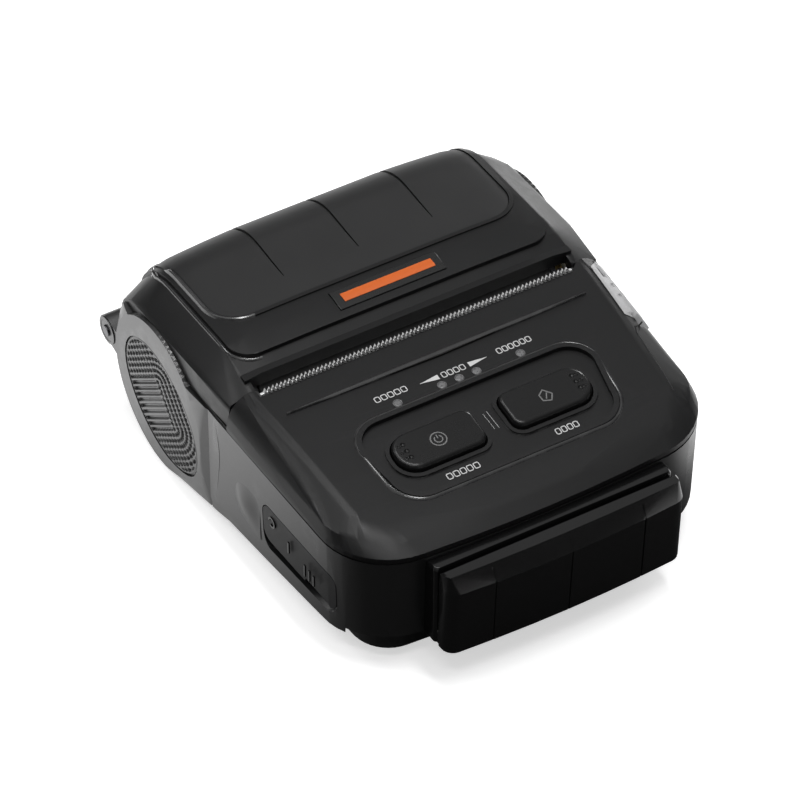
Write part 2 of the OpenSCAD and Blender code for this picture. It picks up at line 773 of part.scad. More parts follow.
// One side plate of the print mechanism, with a slot that lets the platen bush out along the lid's arc
module frame_plate(right) {
    up = [0.31, 0.95];
    out = [0.95, -0.31] * (shaft_r + 1.5);
    difference() {
        union() {
            polygon([[-9, floor_z + wall + 0.05], [5.6, floor_z + wall + 0.05], [5.6, 31], [13, 31], [13, platen_z + 2.5],
                [head_y - 10, platen_z + 2.5], [head_y - 10, 22.6], [-9, 22.6]]);
            if (right) translate(pinion_c) circle(motor_r + 0.4);
        }
        translate([-40, board_z + 3.9]) square([30.6, 20]);
        translate(platen_c) circle(shaft_r + 1.5);
        polygon([platen_c + out, platen_c + out + up * 9 + out * 0.5, platen_c - out + up * 9, platen_c - out]);
        if (right) translate(pinion_c) circle(3);
        translate(head_pivot) circle(1);
    }
}

module mech_frame() {
    color(inner_grey) {
        across(plate_x0, plate_x0 + plate_t) frame_plate(true);
        across(-plate_x0 - plate_t, -plate_x0) frame_plate(false);
        difference() {
            box([-plate_x0, frame_wall_y, 23.6], [plate_x0, frame_wall_y + 1.2, board_z + 6.2]);
            for (x = [-20, 20]) translate([x, 0, platen_z - 2]) rotate([90, 0, 0]) cylinder(h = 20, r = 0.8);
        }
        box([-plate_x0, frame_wall_y, 22.4], [plate_x0, 4.6, 23.6]);
    }
}

module heat_sink() {
    color([0.7, 0.71, 0.73])
    difference() {
        union() {
            box([-head_half, head_y - 3.8, platen_z - 9], [head_half, head_y - 0.8, head_top]);
            for (x = [-34, 30]) across(x, x + 4) {
                translate(head_pivot) circle(2.2);
                translate(head_pivot - [0.7, 0]) square([2.9, 4]);
            }
        }
        rod(-far, far, head_pivot, 1 + fit);
    }
}

module print_head() {
    color([0.85, 0.85, 0.8]) {
        box([-head_half, head_y - 0.8, platen_z - 7.5], [head_half, head_y, head_top - 0.4]);
        box([-36, head_y, platen_z - 6.8], [-14, head_y + 0.25, platen_z - 4.5]);
        box([14, head_y, platen_z - 6.8], [36, head_y + 0.25, platen_z - 4.5]);
    }
}

module head_pin() {
    color(steel) rod(-plate_x0 - plate_t, plate_x0 + plate_t, head_pivot, 1);
}

module head_springs() {
    color(steel)
    for (x = [-20, 20]) translate([x, frame_wall_y + 1.2, platen_z - 2]) rotate([-90, 0, 0]) difference() {
        cylinder(h = 3.2, r = 2);
        translate([0, 0, -1]) cylinder(h = 6, r = 1.5);
    }
}

module motor() {
    color(steel)
    difference() {
        union() {
            rod(plate_x0 - motor_len, plate_x0, pinion_c, motor_r);
            rod(plate_x0, plate_x0 + plate_t, pinion_c, 2.9);
            box([plate_x0 - motor_len + 2, pinion_c[0] - 4, pinion_c[1] - motor_r - 0.6],
                [plate_x0 - motor_len + 8, pinion_c[0] + 4, pinion_c[1] - 2]);
        }
        rod(plate_x0 - 6, far, pinion_c, 0.8 + fit);
    }
}

module motor_pinion() {
    color([0.8, 0.65, 0.3]) {
        across(gear_x0, gear_x0 + gear_w) translate(pinion_c) polygon(gear_plan(pinion_teeth, pinion_phase));
        rod(plate_x0 - 5, gear_x0 + gear_w + 0.6, pinion_c, 0.8);
    }
}

module idler_gear() {
    color([0.85, 0.85, 0.82])
    difference() {
        union() {
            across(gear_x0, gear_x0 + gear_w) translate(idler_c) polygon(gear_plan(idler_teeth, idler_phase));
            rod(gear_x0 - 0.3, gear_x0 + gear_w + 0.3, idler_c, 2.6);
        }
        rod(0, far, idler_c, 1.2 + fit);
        for (a = [0 : 60 : 300]) rod(0, far, idler_c + 5.2 * [cos(a), sin(a)], 1.6);
    }
}

module idler_pin() {
    color(steel) {
        rod(plate_x0 + plate_t, gear_x0 + gear_w + 0.5, idler_c, 1.2);
        rod(gear_x0 + gear_w + 0.5, gear_x0 + gear_w + 0.9, idler_c, 1.9);
    }
}

// Trough that holds the paper roll, open at the top and towards the print head
module paper_cradle() {
    color(inner_grey)
    difference() {
        across(-bay_w / 2 - cradle_wall, bay_w / 2 + cradle_wall)
            translate([roll_y, roll_z]) circle(bay_r + cradle_wall, $fn = 96);
        rod(-bay_w / 2, bay_w / 2, [roll_y, roll_z], bay_r);
        box([-far, -far, seam_z - 0.4], [far, far, far]);
        box([-far, -far, 30], [far, 14.5, far]);
    }
}

module paper_sensor() {
    color(black) box([-4, 6.9, 30.1], [4, 10.9, 32.3]);
}

// Outer form of the lid, drawn in by i
module lid_body(i) {
    side_y = lid_back - 3.2;
    hull() {
        across(-20, 20) polygon(lid_side(i, 0));
        across(i - lid_top_half + 8, lid_top_half - 8 - i) polygon(lid_side(i, 0.3 * lid_crown));
        across(i - lid_top_half, lid_top_half - i) polygon(lid_side(i, lid_crown));
        // Convex shoulders, widest at mid length
        across(i + 0.4 - half, half - 0.4 - i) polygon([[i, roll_z], [i, shoulder_z + 2 - i],
            [12, shoulder_z + 3 - i], [side_y - 14, shoulder_z + 2.6 - i], [side_y - 14, roll_z]]);
        across(i - half - shoulder_out, half + shoulder_out - i) polygon([[14, shoulder_z - 3.6],
            [14, shoulder_z + 1.6 - i], [side_y - 15, shoulder_z + 1.2 - i], [side_y - 15, shoulder_z - 3.6]]);
        across(i - half, half - i) polygon(concat([[i, roll_z], [i, shoulder_z - i]],
            arc([side_y - 12, shoulder_z - 12], 12 - i, 90, 0, 6),
            [[side_y - i, hinge_z + 5], [roll_y, hinge_z + 5]]));
    }
}

module pad_plan(g) {
    polygon(rounded(pad_half + g, pad_half + g, lid_back + 8, pad_y - g, 8 + g));
}

module lid_cover() {
    floor_i = plate_step + wall - 0.1;
    color(black)
    difference() {
        union() {
            difference() {
                union() {
                    lid_body(plate_step);
                    intersection() {
                        lid_body(0);
                        linear_extrude(far) polygon(rounded(plate_half, plate_half, lid_back + 8, plate_y, 6));
                    }
                    intersection() {
                        lid_body(-0.35);
                        linear_extrude(far) difference() {
                            pad_plan(1.1);
                            pad_plan(0);
                        }
                        box([-far, 0, roll_z + 10], [far, far, far]);
                    }
                }
                lid_body(floor_i);
                // Clears the case at the seam and round the roll end
                intersection() {
                    rod(-far, far, [roll_y, roll_z], shell_r + gap);
                    box([-far, 0, 0], [far, far, lid_z0]);
                }
                box([-far, -far, 0], [far, roll_y + 20, lid_z0]);
                both(disc_x - gap, far) disc_side(gap);
                difference() {
                    linear_extrude(far) pad_plan(0);
                    lid_body(pad_depth);
                    box([-far, 0, 0], [far, far, roll_z + 9]);
                }
            }
            // Front wall behind the paper exit
            intersection() {
                box([-tear_len / 2 - 2.5, lip_y, platen_z + platen_r + 0.9], [tear_len / 2 + 2.5, lip_y + 1.8, 60]);
                translate([0, -0.2, -1.6]) box([-far, 0, 0], [far, 8, 49.2]);
            }
            // Inner knuckles of the hinge
            both(7, half - end_knuckle - gap) {
                translate([hinge_y, hinge_z]) circle(knuckle_r);
                polygon([[hinge_y - 3, hinge_z + 2], [hinge_y - 3, hinge_z + 6], [lid_back, hinge_z + 6],
                    [hinge_y + 0.6, hinge_z + 3.9]]);
            }
        }
        box([-far, -far, 0], [far, lid_y0, far]);
        box([-tear_len / 2 - 1, -far, 0], [tear_len / 2 + 1, lip_y, far]);
        box([-plate_x0 - plate_t - gap, -far, 0], [plate_x0 + plate_t + gap, lip_y, platen_z + 2.5 + gap]);
        both(half - end_knuckle - gap, far) translate([hinge_y, hinge_z]) circle(knuckle_r + gap);
        both(gear_x0 - 0.3, gear_x0 + gear_w + 0.8) translate(platen_c) circle(gear_m * (platen_teeth / 2 + 1) + 0.6);
        rod(-far, far, [hinge_y, hinge_z], pin_r + fit);
        difference() {
            box([-badge_w / 2 - 0.1, badge_y - badge_d / 2 - 0.1, roll_z],
                [badge_w / 2 + 0.1, badge_y + badge_d / 2 + 0.1, far]);
            lid_body(0.7);
        }
    }
}

module lid_pad() {
    color(rubber_grey)
    difference() {
        intersection() {
            lid_body(-0.1);
            translate([0, 0, roll_z + 9.1]) linear_extrude(far) pad_plan(-0.15);
        }
        lid_body(pad_depth);
        // Grooves that run out towards the front
        difference() {
            for (k = [1 : pad_fields - 1]) let (x = pad_half * (2 * k / pad_fields - 1))
                translate([x, 0, roll_z]) linear_extrude(far)
                    polygon([[-0.1, pad_y + 7.5], [0.1, pad_y + 7.5], [pad_groove / 2, lid_back - 12],
                        [pad_groove / 2, far], [-pad_groove / 2, far], [-pad_groove / 2, lid_back - 12]]);
            lid_body(0.6);
        }
    }
}

module badge_plate() {
    color(black)
    difference() {
        intersection() {
            box([-badge_w / 2, badge_y - badge_d / 2, roll_z], [badge_w / 2, badge_y + badge_d / 2, far]);
            lid_body(-0.3);
        }
        lid_body(0.7);
    }
}

// Beam under the lid's front edge whose ears carry the platen
module lid_beam() {
    color(inner_grey)
    difference() {
        union() {
            intersection() {
                box([-ear_x0 - ear_t, lip_y + 2, platen_z + platen_r + 0.5], [ear_x0 + ear_t, lip_y + 9, lid_top_z]);
                lid_body(plate_step + wall - 0.1);
            }
            both(ear_x0, ear_x0 + ear_t) {
                translate(platen_c) circle(shaft_r + 2.1);
                translate([lip_y + 2, platen_z]) square([platen_y + shaft_r - lip_y, platen_r + 1]);
            }
        }
        rod(-far, far, platen_c, shaft_r + fit);
    }
}

module platen_roller() {
    color([0.03, 0.03, 0.03])
    difference() {
        rod(-platen_len / 2, platen_len / 2, platen_c, platen_r);
        rod(-far, far, platen_c, shaft_r);
    }
}

module platen_shaft() {
    color(steel) {
        rod(-plate_x0 - plate_t - 0.6, gear_x0, platen_c, shaft_r);
        rod(gear_x0, gear_x0 + gear_w + 0.5, platen_c, 1.4);
    }
}

module platen_gear() {
    color([0.85, 0.85, 0.82])
    difference() {
        across(gear_x0, gear_x0 + gear_w) translate(platen_c) polygon(gear_plan(platen_teeth, platen_phase));
        rod(0, far, platen_c, 1.4);
    }
}

module platen_bushes() {
    color([0.8, 0.65, 0.3])
    difference() {
        both(plate_x0 - 0.2, plate_x0 + plate_t + 0.2) translate(platen_c) circle(shaft_r + 1.4);
        rod(-far, far, platen_c, shaft_r + fit);
    }
}

module hinge_pin() {
    color(steel) rod(-knuckle_x, knuckle_x, [hinge_y, hinge_z], pin_r);
}

module hinge_caps() {
    color(case_grey)
    for (s = [-1, 1]) scale([s, 1, 1]) difference() {
        rod(knuckle_x, knuckle_x + 0.6, [hinge_y, hinge_z], knuckle_r - 0.3);
        rod(knuckle_x + 0.4, knuckle_x + 2, [hinge_y, hinge_z], knuckle_r - 1.1);
    }
}

// Torsion spring round the hinge pin, one unbroken wire
spring_turns = 6.5;
spring_wire = 0.45;
spring_r = pin_r + 1.1;
spring_pitch = 1.6;

function ring(p, d, n) = let (side = [1, 0, 0] - d * d[0], u = side / norm(side), v = cross(d, u))
    [for (k = [0 : n - 1]) p + spring_wire * (u * cos(360 * k / n) + v * sin(360 * k / n))];

module lid_spring() {
    echo(lid_spring_least_gap = norm([spring_pitch, 0]) * cos(atan(spring_pitch / (2 * PI * spring_r))) - 2 * spring_wire);
    steps = spring_turns * 8;
    x1 = spring_pitch * spring_turns / 2;
    way = concat([[-x1, hinge_y - 4.5, hinge_z - spring_r]],
        [for (i = [0 : steps]) let (a = 45 * i - 90)
            [spring_pitch * i / 8 - x1, hinge_y + spring_r * cos(a), hinge_z + spring_r * sin(a)]],
        [[x1, hinge_y - 1.4, hinge_z + spring_r], [x1, hinge_y - 2.1, hinge_z + 4.2]]);
    last = len(way) - 1;
    dirs = [for (i = [0 : last]) let (d = way[min(i + 1, last)] - way[max(i - 1, 0)]) d / norm(d)];
    rings = [for (i = [0 : last]) ring(way[i], dirs[i], 6)];
    color(steel) polyhedron(points = [for (r = rings, p = r) p], faces = concat(
        [[for (k = [0 : 5]) k]], [[for (k = [5 : -1 : 0]) last * 6 + k]],
        [for (i = [0 : last - 1], k = [0 : 5]) let (m = (k + 1) % 6) each
            [[i * 6 + k, (i + 1) * 6 + k, (i + 1) * 6 + m], [i * 6 + k, (i + 1) * 6 + m, i * 6 + m]]]));
}

module port_flap() {
    color(rubber_grey)
    difference() {
        intersection() {
            across(-far, -half / 2) flap_side(0);
            front_body(0.02, skirt_z, seam_z);
        }
        front_body(flap_t, skirt_z - 1, seam_z + 1);
        // Notch for a fingernail
        across(-far, -half / 2) polygon([[-33, flap_z0 - 1], [-33.8, flap_z0 + 1.1], [-43.5, flap_z0 + 1.1],
            [-44.5, flap_z0 - 1]]);
    }
}

module port_board() {
    color(board_green) box([6.2 - half, -43, port_z], [15.4 - half, -18, port_z + port_t]);
}

module dc_jack() {
    z = port_z + port_t;
    x = 6.6 - half;
    c = [-26.6, flap_z0 + 5.8];
    color(black) {
        difference() {
            union() {
                box([x, -31.2, z], [x + 8.4, -22, z + 10.4]);
                rod(x - 1.2, x, c, 3.7);
            }
            rod(-far, x + 7.3, c, 2.9);
        }
        rod(x - 0.6, x + 7.4, c, 0.9);
    }
}

module usb_socket() {
    z = port_z + port_t;
    x = 5.8 - half;
    color(steel)
    difference() {
        box([x, -41.4, z], [x + 9, -34, flap_z0 + 6.6]);
        box([-far, -40.7, flap_z0 + 2.8], [x + 7.6, -34.7, flap_z0 + 6]);
    }
}

module battery_pack() {
    y0 = -battery_front;
    y1 = battery_l - battery_front;
    color(rubber_grey)
    difference() {
        translate([0, 0, 0.4]) linear_extrude(battery_h)
            polygon(rounded(battery_w / 2, battery_w / 2, y1, y0, 3));
        for (x = contact_x) box([x - 1.4, y0 + 2, battery_h - 0.1], [x + 1.4, y0 + 7, battery_h + 1]);
        box([-9, y1 - 4, 0], [9, y1 - 1.2, 1.6]);
        for (s = [-1, 1]) box([s * 24 - 6, y0 + 6, -1], [s * 24 + 6, y1 - 6, 0.7]);
    }
}

module battery_latch() {
    color(case_grey)
    difference() {
        union() {
            box([-7.1, bay_rear + gap, 0.4], [7.1, -0.9 - latch_travel - gap, 1.6]);
            box([-8.5, bay_rear + gap, 1.6], [8.5, -0.9 - latch_travel - gap, 2.5]);
        }
        for (k = [0 : 2]) box([-5, bay_rear + 1.4 + k * 1.3, 0], [5, bay_rear + 2 + k * 1.3, 0.8]);
    }
}

module battery_contacts() {
    color([0.85, 0.7, 0.3])
    for (x = contact_x) box([x - 1.5, bay_front + 2.1, bay_top - 0.1], [x + 1.5, bay_front + 6.9, bay_top + 2.2]);
}

reader_y0 = -front_len - 0.1;
slot_y = reader_y0 - reader_rear_t;
outer_y = slot_y - card_slot;

// Plan of a reader block between a rear and a front line, each with its own bow
function block_plan(e, y_rear, bow_rear, y_front, bow_front, r) = let (f = e - r) concat(
    bowed(e, y_rear, bow_rear, [-3 : 3]),
    arc([f, y_front + bow_front + r], r, 0, -86, 5),
    bowed(f, y_front, bow_front, [2 : -1 : -2]),
    arc([-f, y_front + bow_front + r], r, -94, -180, 5));

module layer(z) {
    translate([0, 0, z]) linear_extrude(eps) children();
}

// Rear block, which follows the bow and the slope of the front wall, and the floor of the card slot
module reader_rear() {
    e = reader_w / 2;
    color(black) {
        difference() {
            hull() {
                layer(reader_z0) polygon(block_plan(e, reader_y0 + 2, 0, slot_y, 0, 1.2));
                layer(seam_z - 1.7) polygon(block_plan(e, reader_y0 + 2, 0, slot_y, 0, 1.2));
                layer(seam_z - 0.8) polygon(block_plan(e - 0.5, reader_y0 - 0.6, 0, slot_y + 0.5, 0, 1));
            }
            front_body(-0.1, reader_z0 - 1, seam_z);
        }
        box([0.6 - e, outer_y, reader_z0], [e - 0.6, slot_y + 1, reader_z0 + 4]);
    }
}

// Form of the outer block, drawn in by i
module outer_block(i) {
    e = reader_w / 2 - i;
    f = outer_y - reader_front_t + i;
    hull() {
        layer(reader_z0 + i) polygon(block_plan(e - 0.5, outer_y, 0, f + reader_lean + 0.7, 1, 2.8));
        layer(reader_z0 + 0.7) polygon(block_plan(e, outer_y, 0, f + reader_lean, 1, 3.2));
        layer(reader_top - 4.3) polygon(block_plan(e, outer_y, 0, f, front_bow, 3.2));
        layer(reader_top - 0.7 - i) polygon([[0.3 - e, outer_y], [e - 0.3, outer_y], [e - 0.3, outer_y - 1],
            [0.3 - e, outer_y - 1]]);
        layer(reader_top - i) polygon(block_plan(e - 0.9, outer_y - 0.8, 0, outer_y - 3.8 + i, 0.7, 0.8));
    }
}

module reader_front() {
    groove = 0.25;
    color(black)
    difference() {
        outer_block(0);
        box([-4.6, outer_y - 3.2, 18], [4.6, outer_y + 1, 26]);
        for (x = [-20, 0, 20]) difference() {
            box([x - 0.2, -far, 0], [x + 0.2, outer_y - 2, reader_top - 1]);
            outer_block(groove);
        }
    }
}

module reader_head() {
    color(steel) intersection() {
        box([-4.3, outer_y - 2.5, 18.4], [4.3, outer_y + 1, 25.6]);
        post(0, outer_y - 11.2, 18, 26, 11.8);
    }
}

lower_case();
battery_bay();
base_plate();
case_screws();
left_grip_panel();
right_grip_panel();
top_cover();
tear_bar();
indicator_lenses();
power_button();
feed_button();
key_switches();
panel_board();
main_board();
release_lever();
latch_bar();
mech_frame();
print_head();
heat_sink();
head_pin();
head_springs();
motor();
motor_pinion();
idler_gear();
idler_pin();
paper_cradle();
paper_sensor();
lid_cover();
lid_pad();
badge_plate();
lid_beam();
platen_roller();
platen_shaft();
platen_gear();
platen_bushes();
hinge_pin();
hinge_caps();
lid_spring();
port_flap();
port_board();
dc_jack();
usb_socket();
battery_pack();
battery_latch();
battery_contacts();
reader_rear();
reader_front();
reader_head();
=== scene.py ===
import json
import math

import bmesh
import bpy
from mathutils import Matrix, Vector
from mathutils.bvhtree import BVHTree


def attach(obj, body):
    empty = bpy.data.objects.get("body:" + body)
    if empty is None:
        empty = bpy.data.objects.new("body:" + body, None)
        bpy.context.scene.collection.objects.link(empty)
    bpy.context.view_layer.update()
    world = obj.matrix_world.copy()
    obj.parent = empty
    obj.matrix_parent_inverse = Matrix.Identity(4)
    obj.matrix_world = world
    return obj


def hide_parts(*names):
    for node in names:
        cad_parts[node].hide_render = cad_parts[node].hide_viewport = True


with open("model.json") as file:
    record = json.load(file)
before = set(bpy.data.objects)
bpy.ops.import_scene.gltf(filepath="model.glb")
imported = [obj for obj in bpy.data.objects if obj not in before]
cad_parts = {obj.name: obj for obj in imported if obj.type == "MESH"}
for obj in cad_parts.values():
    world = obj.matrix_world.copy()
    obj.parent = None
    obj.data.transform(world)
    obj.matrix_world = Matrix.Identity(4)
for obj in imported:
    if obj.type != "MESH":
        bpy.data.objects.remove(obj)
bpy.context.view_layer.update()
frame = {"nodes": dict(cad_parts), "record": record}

mm = 0.001
bodyOfNode = {node: body for body, nodes in frame["record"]["behaviour"]["bodies"].items() for node in nodes}
print("frame loaded with", len(bodyOfNode), "nodes")


# Camera, lamps and floor

cameraView = {
    "aim": (-9.4, -8.6, 33.7),    # mm, the point in the middle of the picture
    "azimuth": 30.352,            # degrees to the left of the front
    "elevation": 44.107,
    "distance": 1300,             # mm
    "lens": 247.9,                # mm on a 36 mm sensor
}

studio = {
    "worldHigh": 0.42,            # light from overhead
    "worldLow": 0.05,             # light from the horizon
    "climb": (0.15, 0.75),        # where the world turns from low to high, as the sine of the elevation
    "lamps": [
        # name, direction from the printer, distance in m, width, height in m, watts
        ("topStrip", (0.03, 0.0, 1.0), 1.5, 1.5, 0.17, 13),
        ("rearLeftBox", (-0.50, 0.40, 0.77), 1.5, 0.4, 0.3, 3),
        ("frontTopStrip", (-0.28, -0.42, 0.86), 1.5, 0.5, 0.12, 2.5),
        ("rightRearStrip", (0.76, 0.62, 0.24), 1.6, 0.2, 0.5, 5),
    ],
}

floorLook = {
    "tone": (0.93, 0.93, 0.93),
    "glow": (0.55, 0.55, 0.55),           # what the camera sees
    "paintedMirrorGlow": (0.62, 0.62, 0.62),     # painted glow: what glossy walls see where the paper is painted as lit
    "paintedMirrorShade": (0.04, 0.04, 0.04),    # and the paper's colour to them where it isn't: painted shade
    "paintedLitY": (-0.062, 0.125),              # m, where the painted light starts, and how slowly
    "paintedLitX": (0.060, 0.02),
    "size": 9,                            # m
}


def viewDirection(azimuth, elevation):
    a, e = math.radians(azimuth), math.radians(elevation)
    return Vector((math.sin(a) * math.cos(e), math.cos(a) * math.cos(e), -math.sin(e)))


def makeCamera(view):
    camera = bpy.data.objects.new("camera", bpy.data.cameras.new("camera"))
    bpy.context.collection.objects.link(camera)
    forward = viewDirection(view["azimuth"], view["elevation"])
    right = forward.cross(Vector((0, 0, 1))).normalized()
    up = right.cross(forward)
    turn = Matrix((right, up, -forward)).transposed().to_4x4()
    place = (Vector(view["aim"]) - forward * view["distance"]) * mm
    camera.matrix_world = Matrix.Translation(place) @ turn
    camera.data.lens = view["lens"]
    camera.data.sensor_width = 36
    camera.data.clip_start, camera.data.clip_end = 0.05, 20
    bpy.context.scene.camera = camera


def makeLamp(name, direction, distance, width, height, watts):
    data = bpy.data.lights.new(name, "AREA")
    data.shape, data.size, data.size_y, data.energy = "RECTANGLE", width, height, watts
    lamp = bpy.data.objects.new(name, data)
    bpy.context.collection.objects.link(lamp)
    away = Vector(direction).normalized()
    lamp.location = away * distance
    lamp.rotation_mode = "QUATERNION"
    lamp.rotation_quaternion = away.to_track_quat("Z", "Y")


def makeStudio(settings):
    scene = bpy.context.scene
    scene.view_settings.view_transform = "Standard"
    world = bpy.data.worlds.new("studio")
    scene.world = world
    world.use_nodes = True
    nodes, links = world.node_tree.nodes, world.node_tree.links
    background = nodes["Background"]
    background.inputs["Color"].default_value = (1, 1, 1, 1)
    coordinates, parts = nodes.new("ShaderNodeTexCoord"), nodes.new("ShaderNodeSeparateXYZ")
    climb = nodes.new("ShaderNodeMapRange")
    climb.interpolation_type = "SMOOTHSTEP"
    climb.inputs["From Min"].default_value, climb.inputs["From Max"].default_value = settings["climb"]
    climb.inputs["To Min"].default_value = settings["worldLow"]
    climb.inputs["To Max"].default_value = settings["worldHigh"]
    links.new(coordinates.outputs["Generated"], parts.inputs["Vector"])
    links.new(parts.outputs["Z"], climb.inputs["Value"])
    links.new(climb.outputs["Result"], background.inputs["Strength"])
    for lamp in settings["lamps"]:
        makeLamp(*lamp)


makeCamera(cameraView)
makeStudio(studio)
print("camera and lamps are up")


# Shader maths written as Python expressions

class Value:
    def __init__(self, finish, socket):
        self.finish, self.socket = finish, socket

    def maths(self, operation, a, b=0.0):
        return self.finish.add("ShaderNodeMath", {"operation": operation}, {0: a, 1: b})

    def __add__(self, other):
        return self.maths("ADD", self, other)

    def __radd__(self, other):
        return self.maths("ADD", other, self)

    def __sub__(self, other):
        return self.maths("SUBTRACT", self, other)

    def __rsub__(self, other):
        return self.maths("SUBTRACT", other, self)

    def __mul__(self, other):
        return self.maths("MULTIPLY", self, other)

    def __rmul__(self, other):
        return self.maths("MULTIPLY", other, self)

    def above(self, edge, width):
        return self.finish.add("ShaderNodeMapRange", {"interpolation_type": "SMOOTHSTEP"},
                               {"Value": self, "From Min": edge, "From Max": edge + width})


class Finish:
    def __init__(self, name, **shine):
        self.material = bpy.data.materials.new(name)
        self.material.use_nodes = True
        self.tree = self.material.node_tree
        self.shader = self.tree.nodes["Principled BSDF"]
        for socket, number in shine.items():
            self.shader.inputs[socket.replace("_", " ")].default_value = number
        self.place = self.add("ShaderNodeTexCoord", {}, {}, "Object")

    def add(self, kind, settings, inputs, output=0):
        node = self.tree.nodes.new(kind)
        for key, setting in settings.items():
            setattr(node, key, setting)
        for key, given in inputs.items():
            self.plug(node.inputs[key], given)
        return Value(self, node.outputs[output])

    def plug(self, socket, given):
        if isinstance(given, Value):
            self.tree.links.new(given.socket, socket)
        elif isinstance(given, tuple) and len(given) == 3 and socket.type == "RGBA":
            socket.default_value = (*given, 1)
        else:
            socket.default_value = given

    def noise(self, size, detail=2.0, stretch=(1, 1, 1), rough=0.5):
        # size is how far apart the blotches lie, in mm
        where = self.add("ShaderNodeMapping", {}, {"Vector": self.place, "Scale": stretch})
        return self.add("ShaderNodeTexNoise", {}, {"Vector": where, "Scale": 1 / (size * mm),
                                                   "Detail": detail, "Roughness": rough})

    def mix(self, factor, first, second):
        return self.add("ShaderNodeMix", {"data_type": "RGBA"}, {0: factor, 6: first, 7: second}, 2)

    def edges(self, low=0.52, width=0.08):
        return self.add("ShaderNodeNewGeometry", {}, {}, "Pointiness").above(low, width)

    def bump(self, height, depth):
        # depth is the height of the relief in mm
        normal = self.add("ShaderNodeBump", {}, {"Height": height, "Distance": depth * mm, "Strength": 1.0})
        self.plug(self.shader.inputs["Normal"], normal)

    def paint(self, colour, roughness):
        self.plug(self.shader.inputs["Base Color"], colour)
        self.plug(self.shader.inputs["Roughness"], roughness)
        return self.material


def scaled(tone, factor):
    return tuple(min(1.0, channel * factor) for channel in tone)


def mouldedPlastic(name, tone, rough, grain, depth, wornTone=None, specular=0.5):
    finish = Finish(name, Specular_IOR_Level=specular)
    clouds = finish.noise(18, 3)
    fine = finish.noise(grain, 2, rough=0.6)
    coarse = finish.noise(grain * 3.3, 1)
    rubbed = finish.edges() * finish.noise(3.5, 3).above(0.35, 0.3)
    colour = finish.mix(clouds, scaled(tone, 0.82), scaled(tone, 1.2))
    colour = finish.mix(fine.above(0.52, 0.2) * 0.35, colour, scaled(tone, 1.7))
    colour = finish.mix(rubbed * 0.6, colour, wornTone or scaled(tone, 2.2))
    roughness = rough + (clouds - 0.5) * 0.04 + (fine - 0.5) * 0.09 - rubbed * 0.06
    finish.bump(fine * 0.7 + coarse * 0.5, depth)
    return finish.paint(colour, roughness)


def softRubber(name, tone, rough, grain=0.35, depth=0.012):
    finish = Finish(name, Specular_IOR_Level=0.35)
    clouds = finish.noise(11, 4)
    fine = finish.noise(grain, 3, rough=0.65)
    dust = finish.noise(0.9, 4, rough=0.7).above(0.62, 0.12)
    colour = finish.mix(clouds, scaled(tone, 0.85), scaled(tone, 1.18))
    colour = finish.mix(dust * 0.22, colour, scaled(tone, 2.4))
    colour = finish.mix(finish.edges() * 0.3, colour, scaled(tone, 1.8))
    finish.bump(fine, depth)
    return finish.paint(colour, rough + (clouds - 0.5) * 0.1 + dust * 0.06)


def metal(name, tone, rough, stretch, line=0.12, metallic=1.0):
    finish = Finish(name, Metallic=metallic)
    lines = finish.noise(line, 3, stretch, 0.6)
    stain = finish.noise(6, 3)
    colour = finish.mix(lines, scaled(tone, 0.8), scaled(tone, 1.08))
    colour = finish.mix(stain.above(0.55, 0.25) * 0.3, colour, scaled(tone, 0.72))
    finish.bump(lines, 0.002)
    return finish.paint(colour, rough + (lines - 0.5) * 0.16 + (stain - 0.5) * 0.08)


def printedInk(name, tone, rough=0.45):
    finish = Finish(name, Specular_IOR_Level=0.4)
    speckle = finish.noise(0.12, 2)
    wear = finish.noise(1.3, 4).above(0.63, 0.1)
    colour = finish.mix(speckle, scaled(tone, 0.9), scaled(tone, 1.05))
    colour = finish.mix(wear * 0.25, colour, scaled(tone, 0.45))
    finish.bump(speckle, 0.004)
    return finish.paint(colour, rough + (speckle - 0.5) * 0.1)


def circuitBoard(name):
    finish = Finish(name, Specular_IOR_Level=0.5)
    cells = finish.add("ShaderNodeTexBrick", {"offset": 0.37, "squash": 1.6},
                       {"Vector": finish.place, "Scale": 330.0, "Mortar Size": 0.035,
                        "Color1": (0.008, 0.07, 0.03), "Color2": (0.01, 0.09, 0.04),
                        "Mortar": (0.03, 0.2, 0.09)})
    pads = finish.add("ShaderNodeTexVoronoi", {}, {"Vector": finish.place, "Scale": 420.0}, "Distance")
    dots = 1 - pads.above(0.13, 0.04)
    colour = finish.mix(dots, cells, (0.62, 0.5, 0.22))
    finish.bump(dots + finish.noise(0.4, 2) * 0.2, 0.03)
    return finish.paint(colour, 0.34 - dots * 0.1 + finish.noise(3, 2) * 0.08)


def smokyLens(name):
    finish = Finish(name, Transmission_Weight=0.35, Coat_Weight=0.4)
    ripple = finish.noise(0.6, 2)
    colour = finish.mix(ripple, (0.16, 0.16, 0.165), (0.25, 0.25, 0.255))
    finish.bump(ripple, 0.01)
    return finish.paint(colour, 0.28 + (ripple - 0.5) * 0.1)


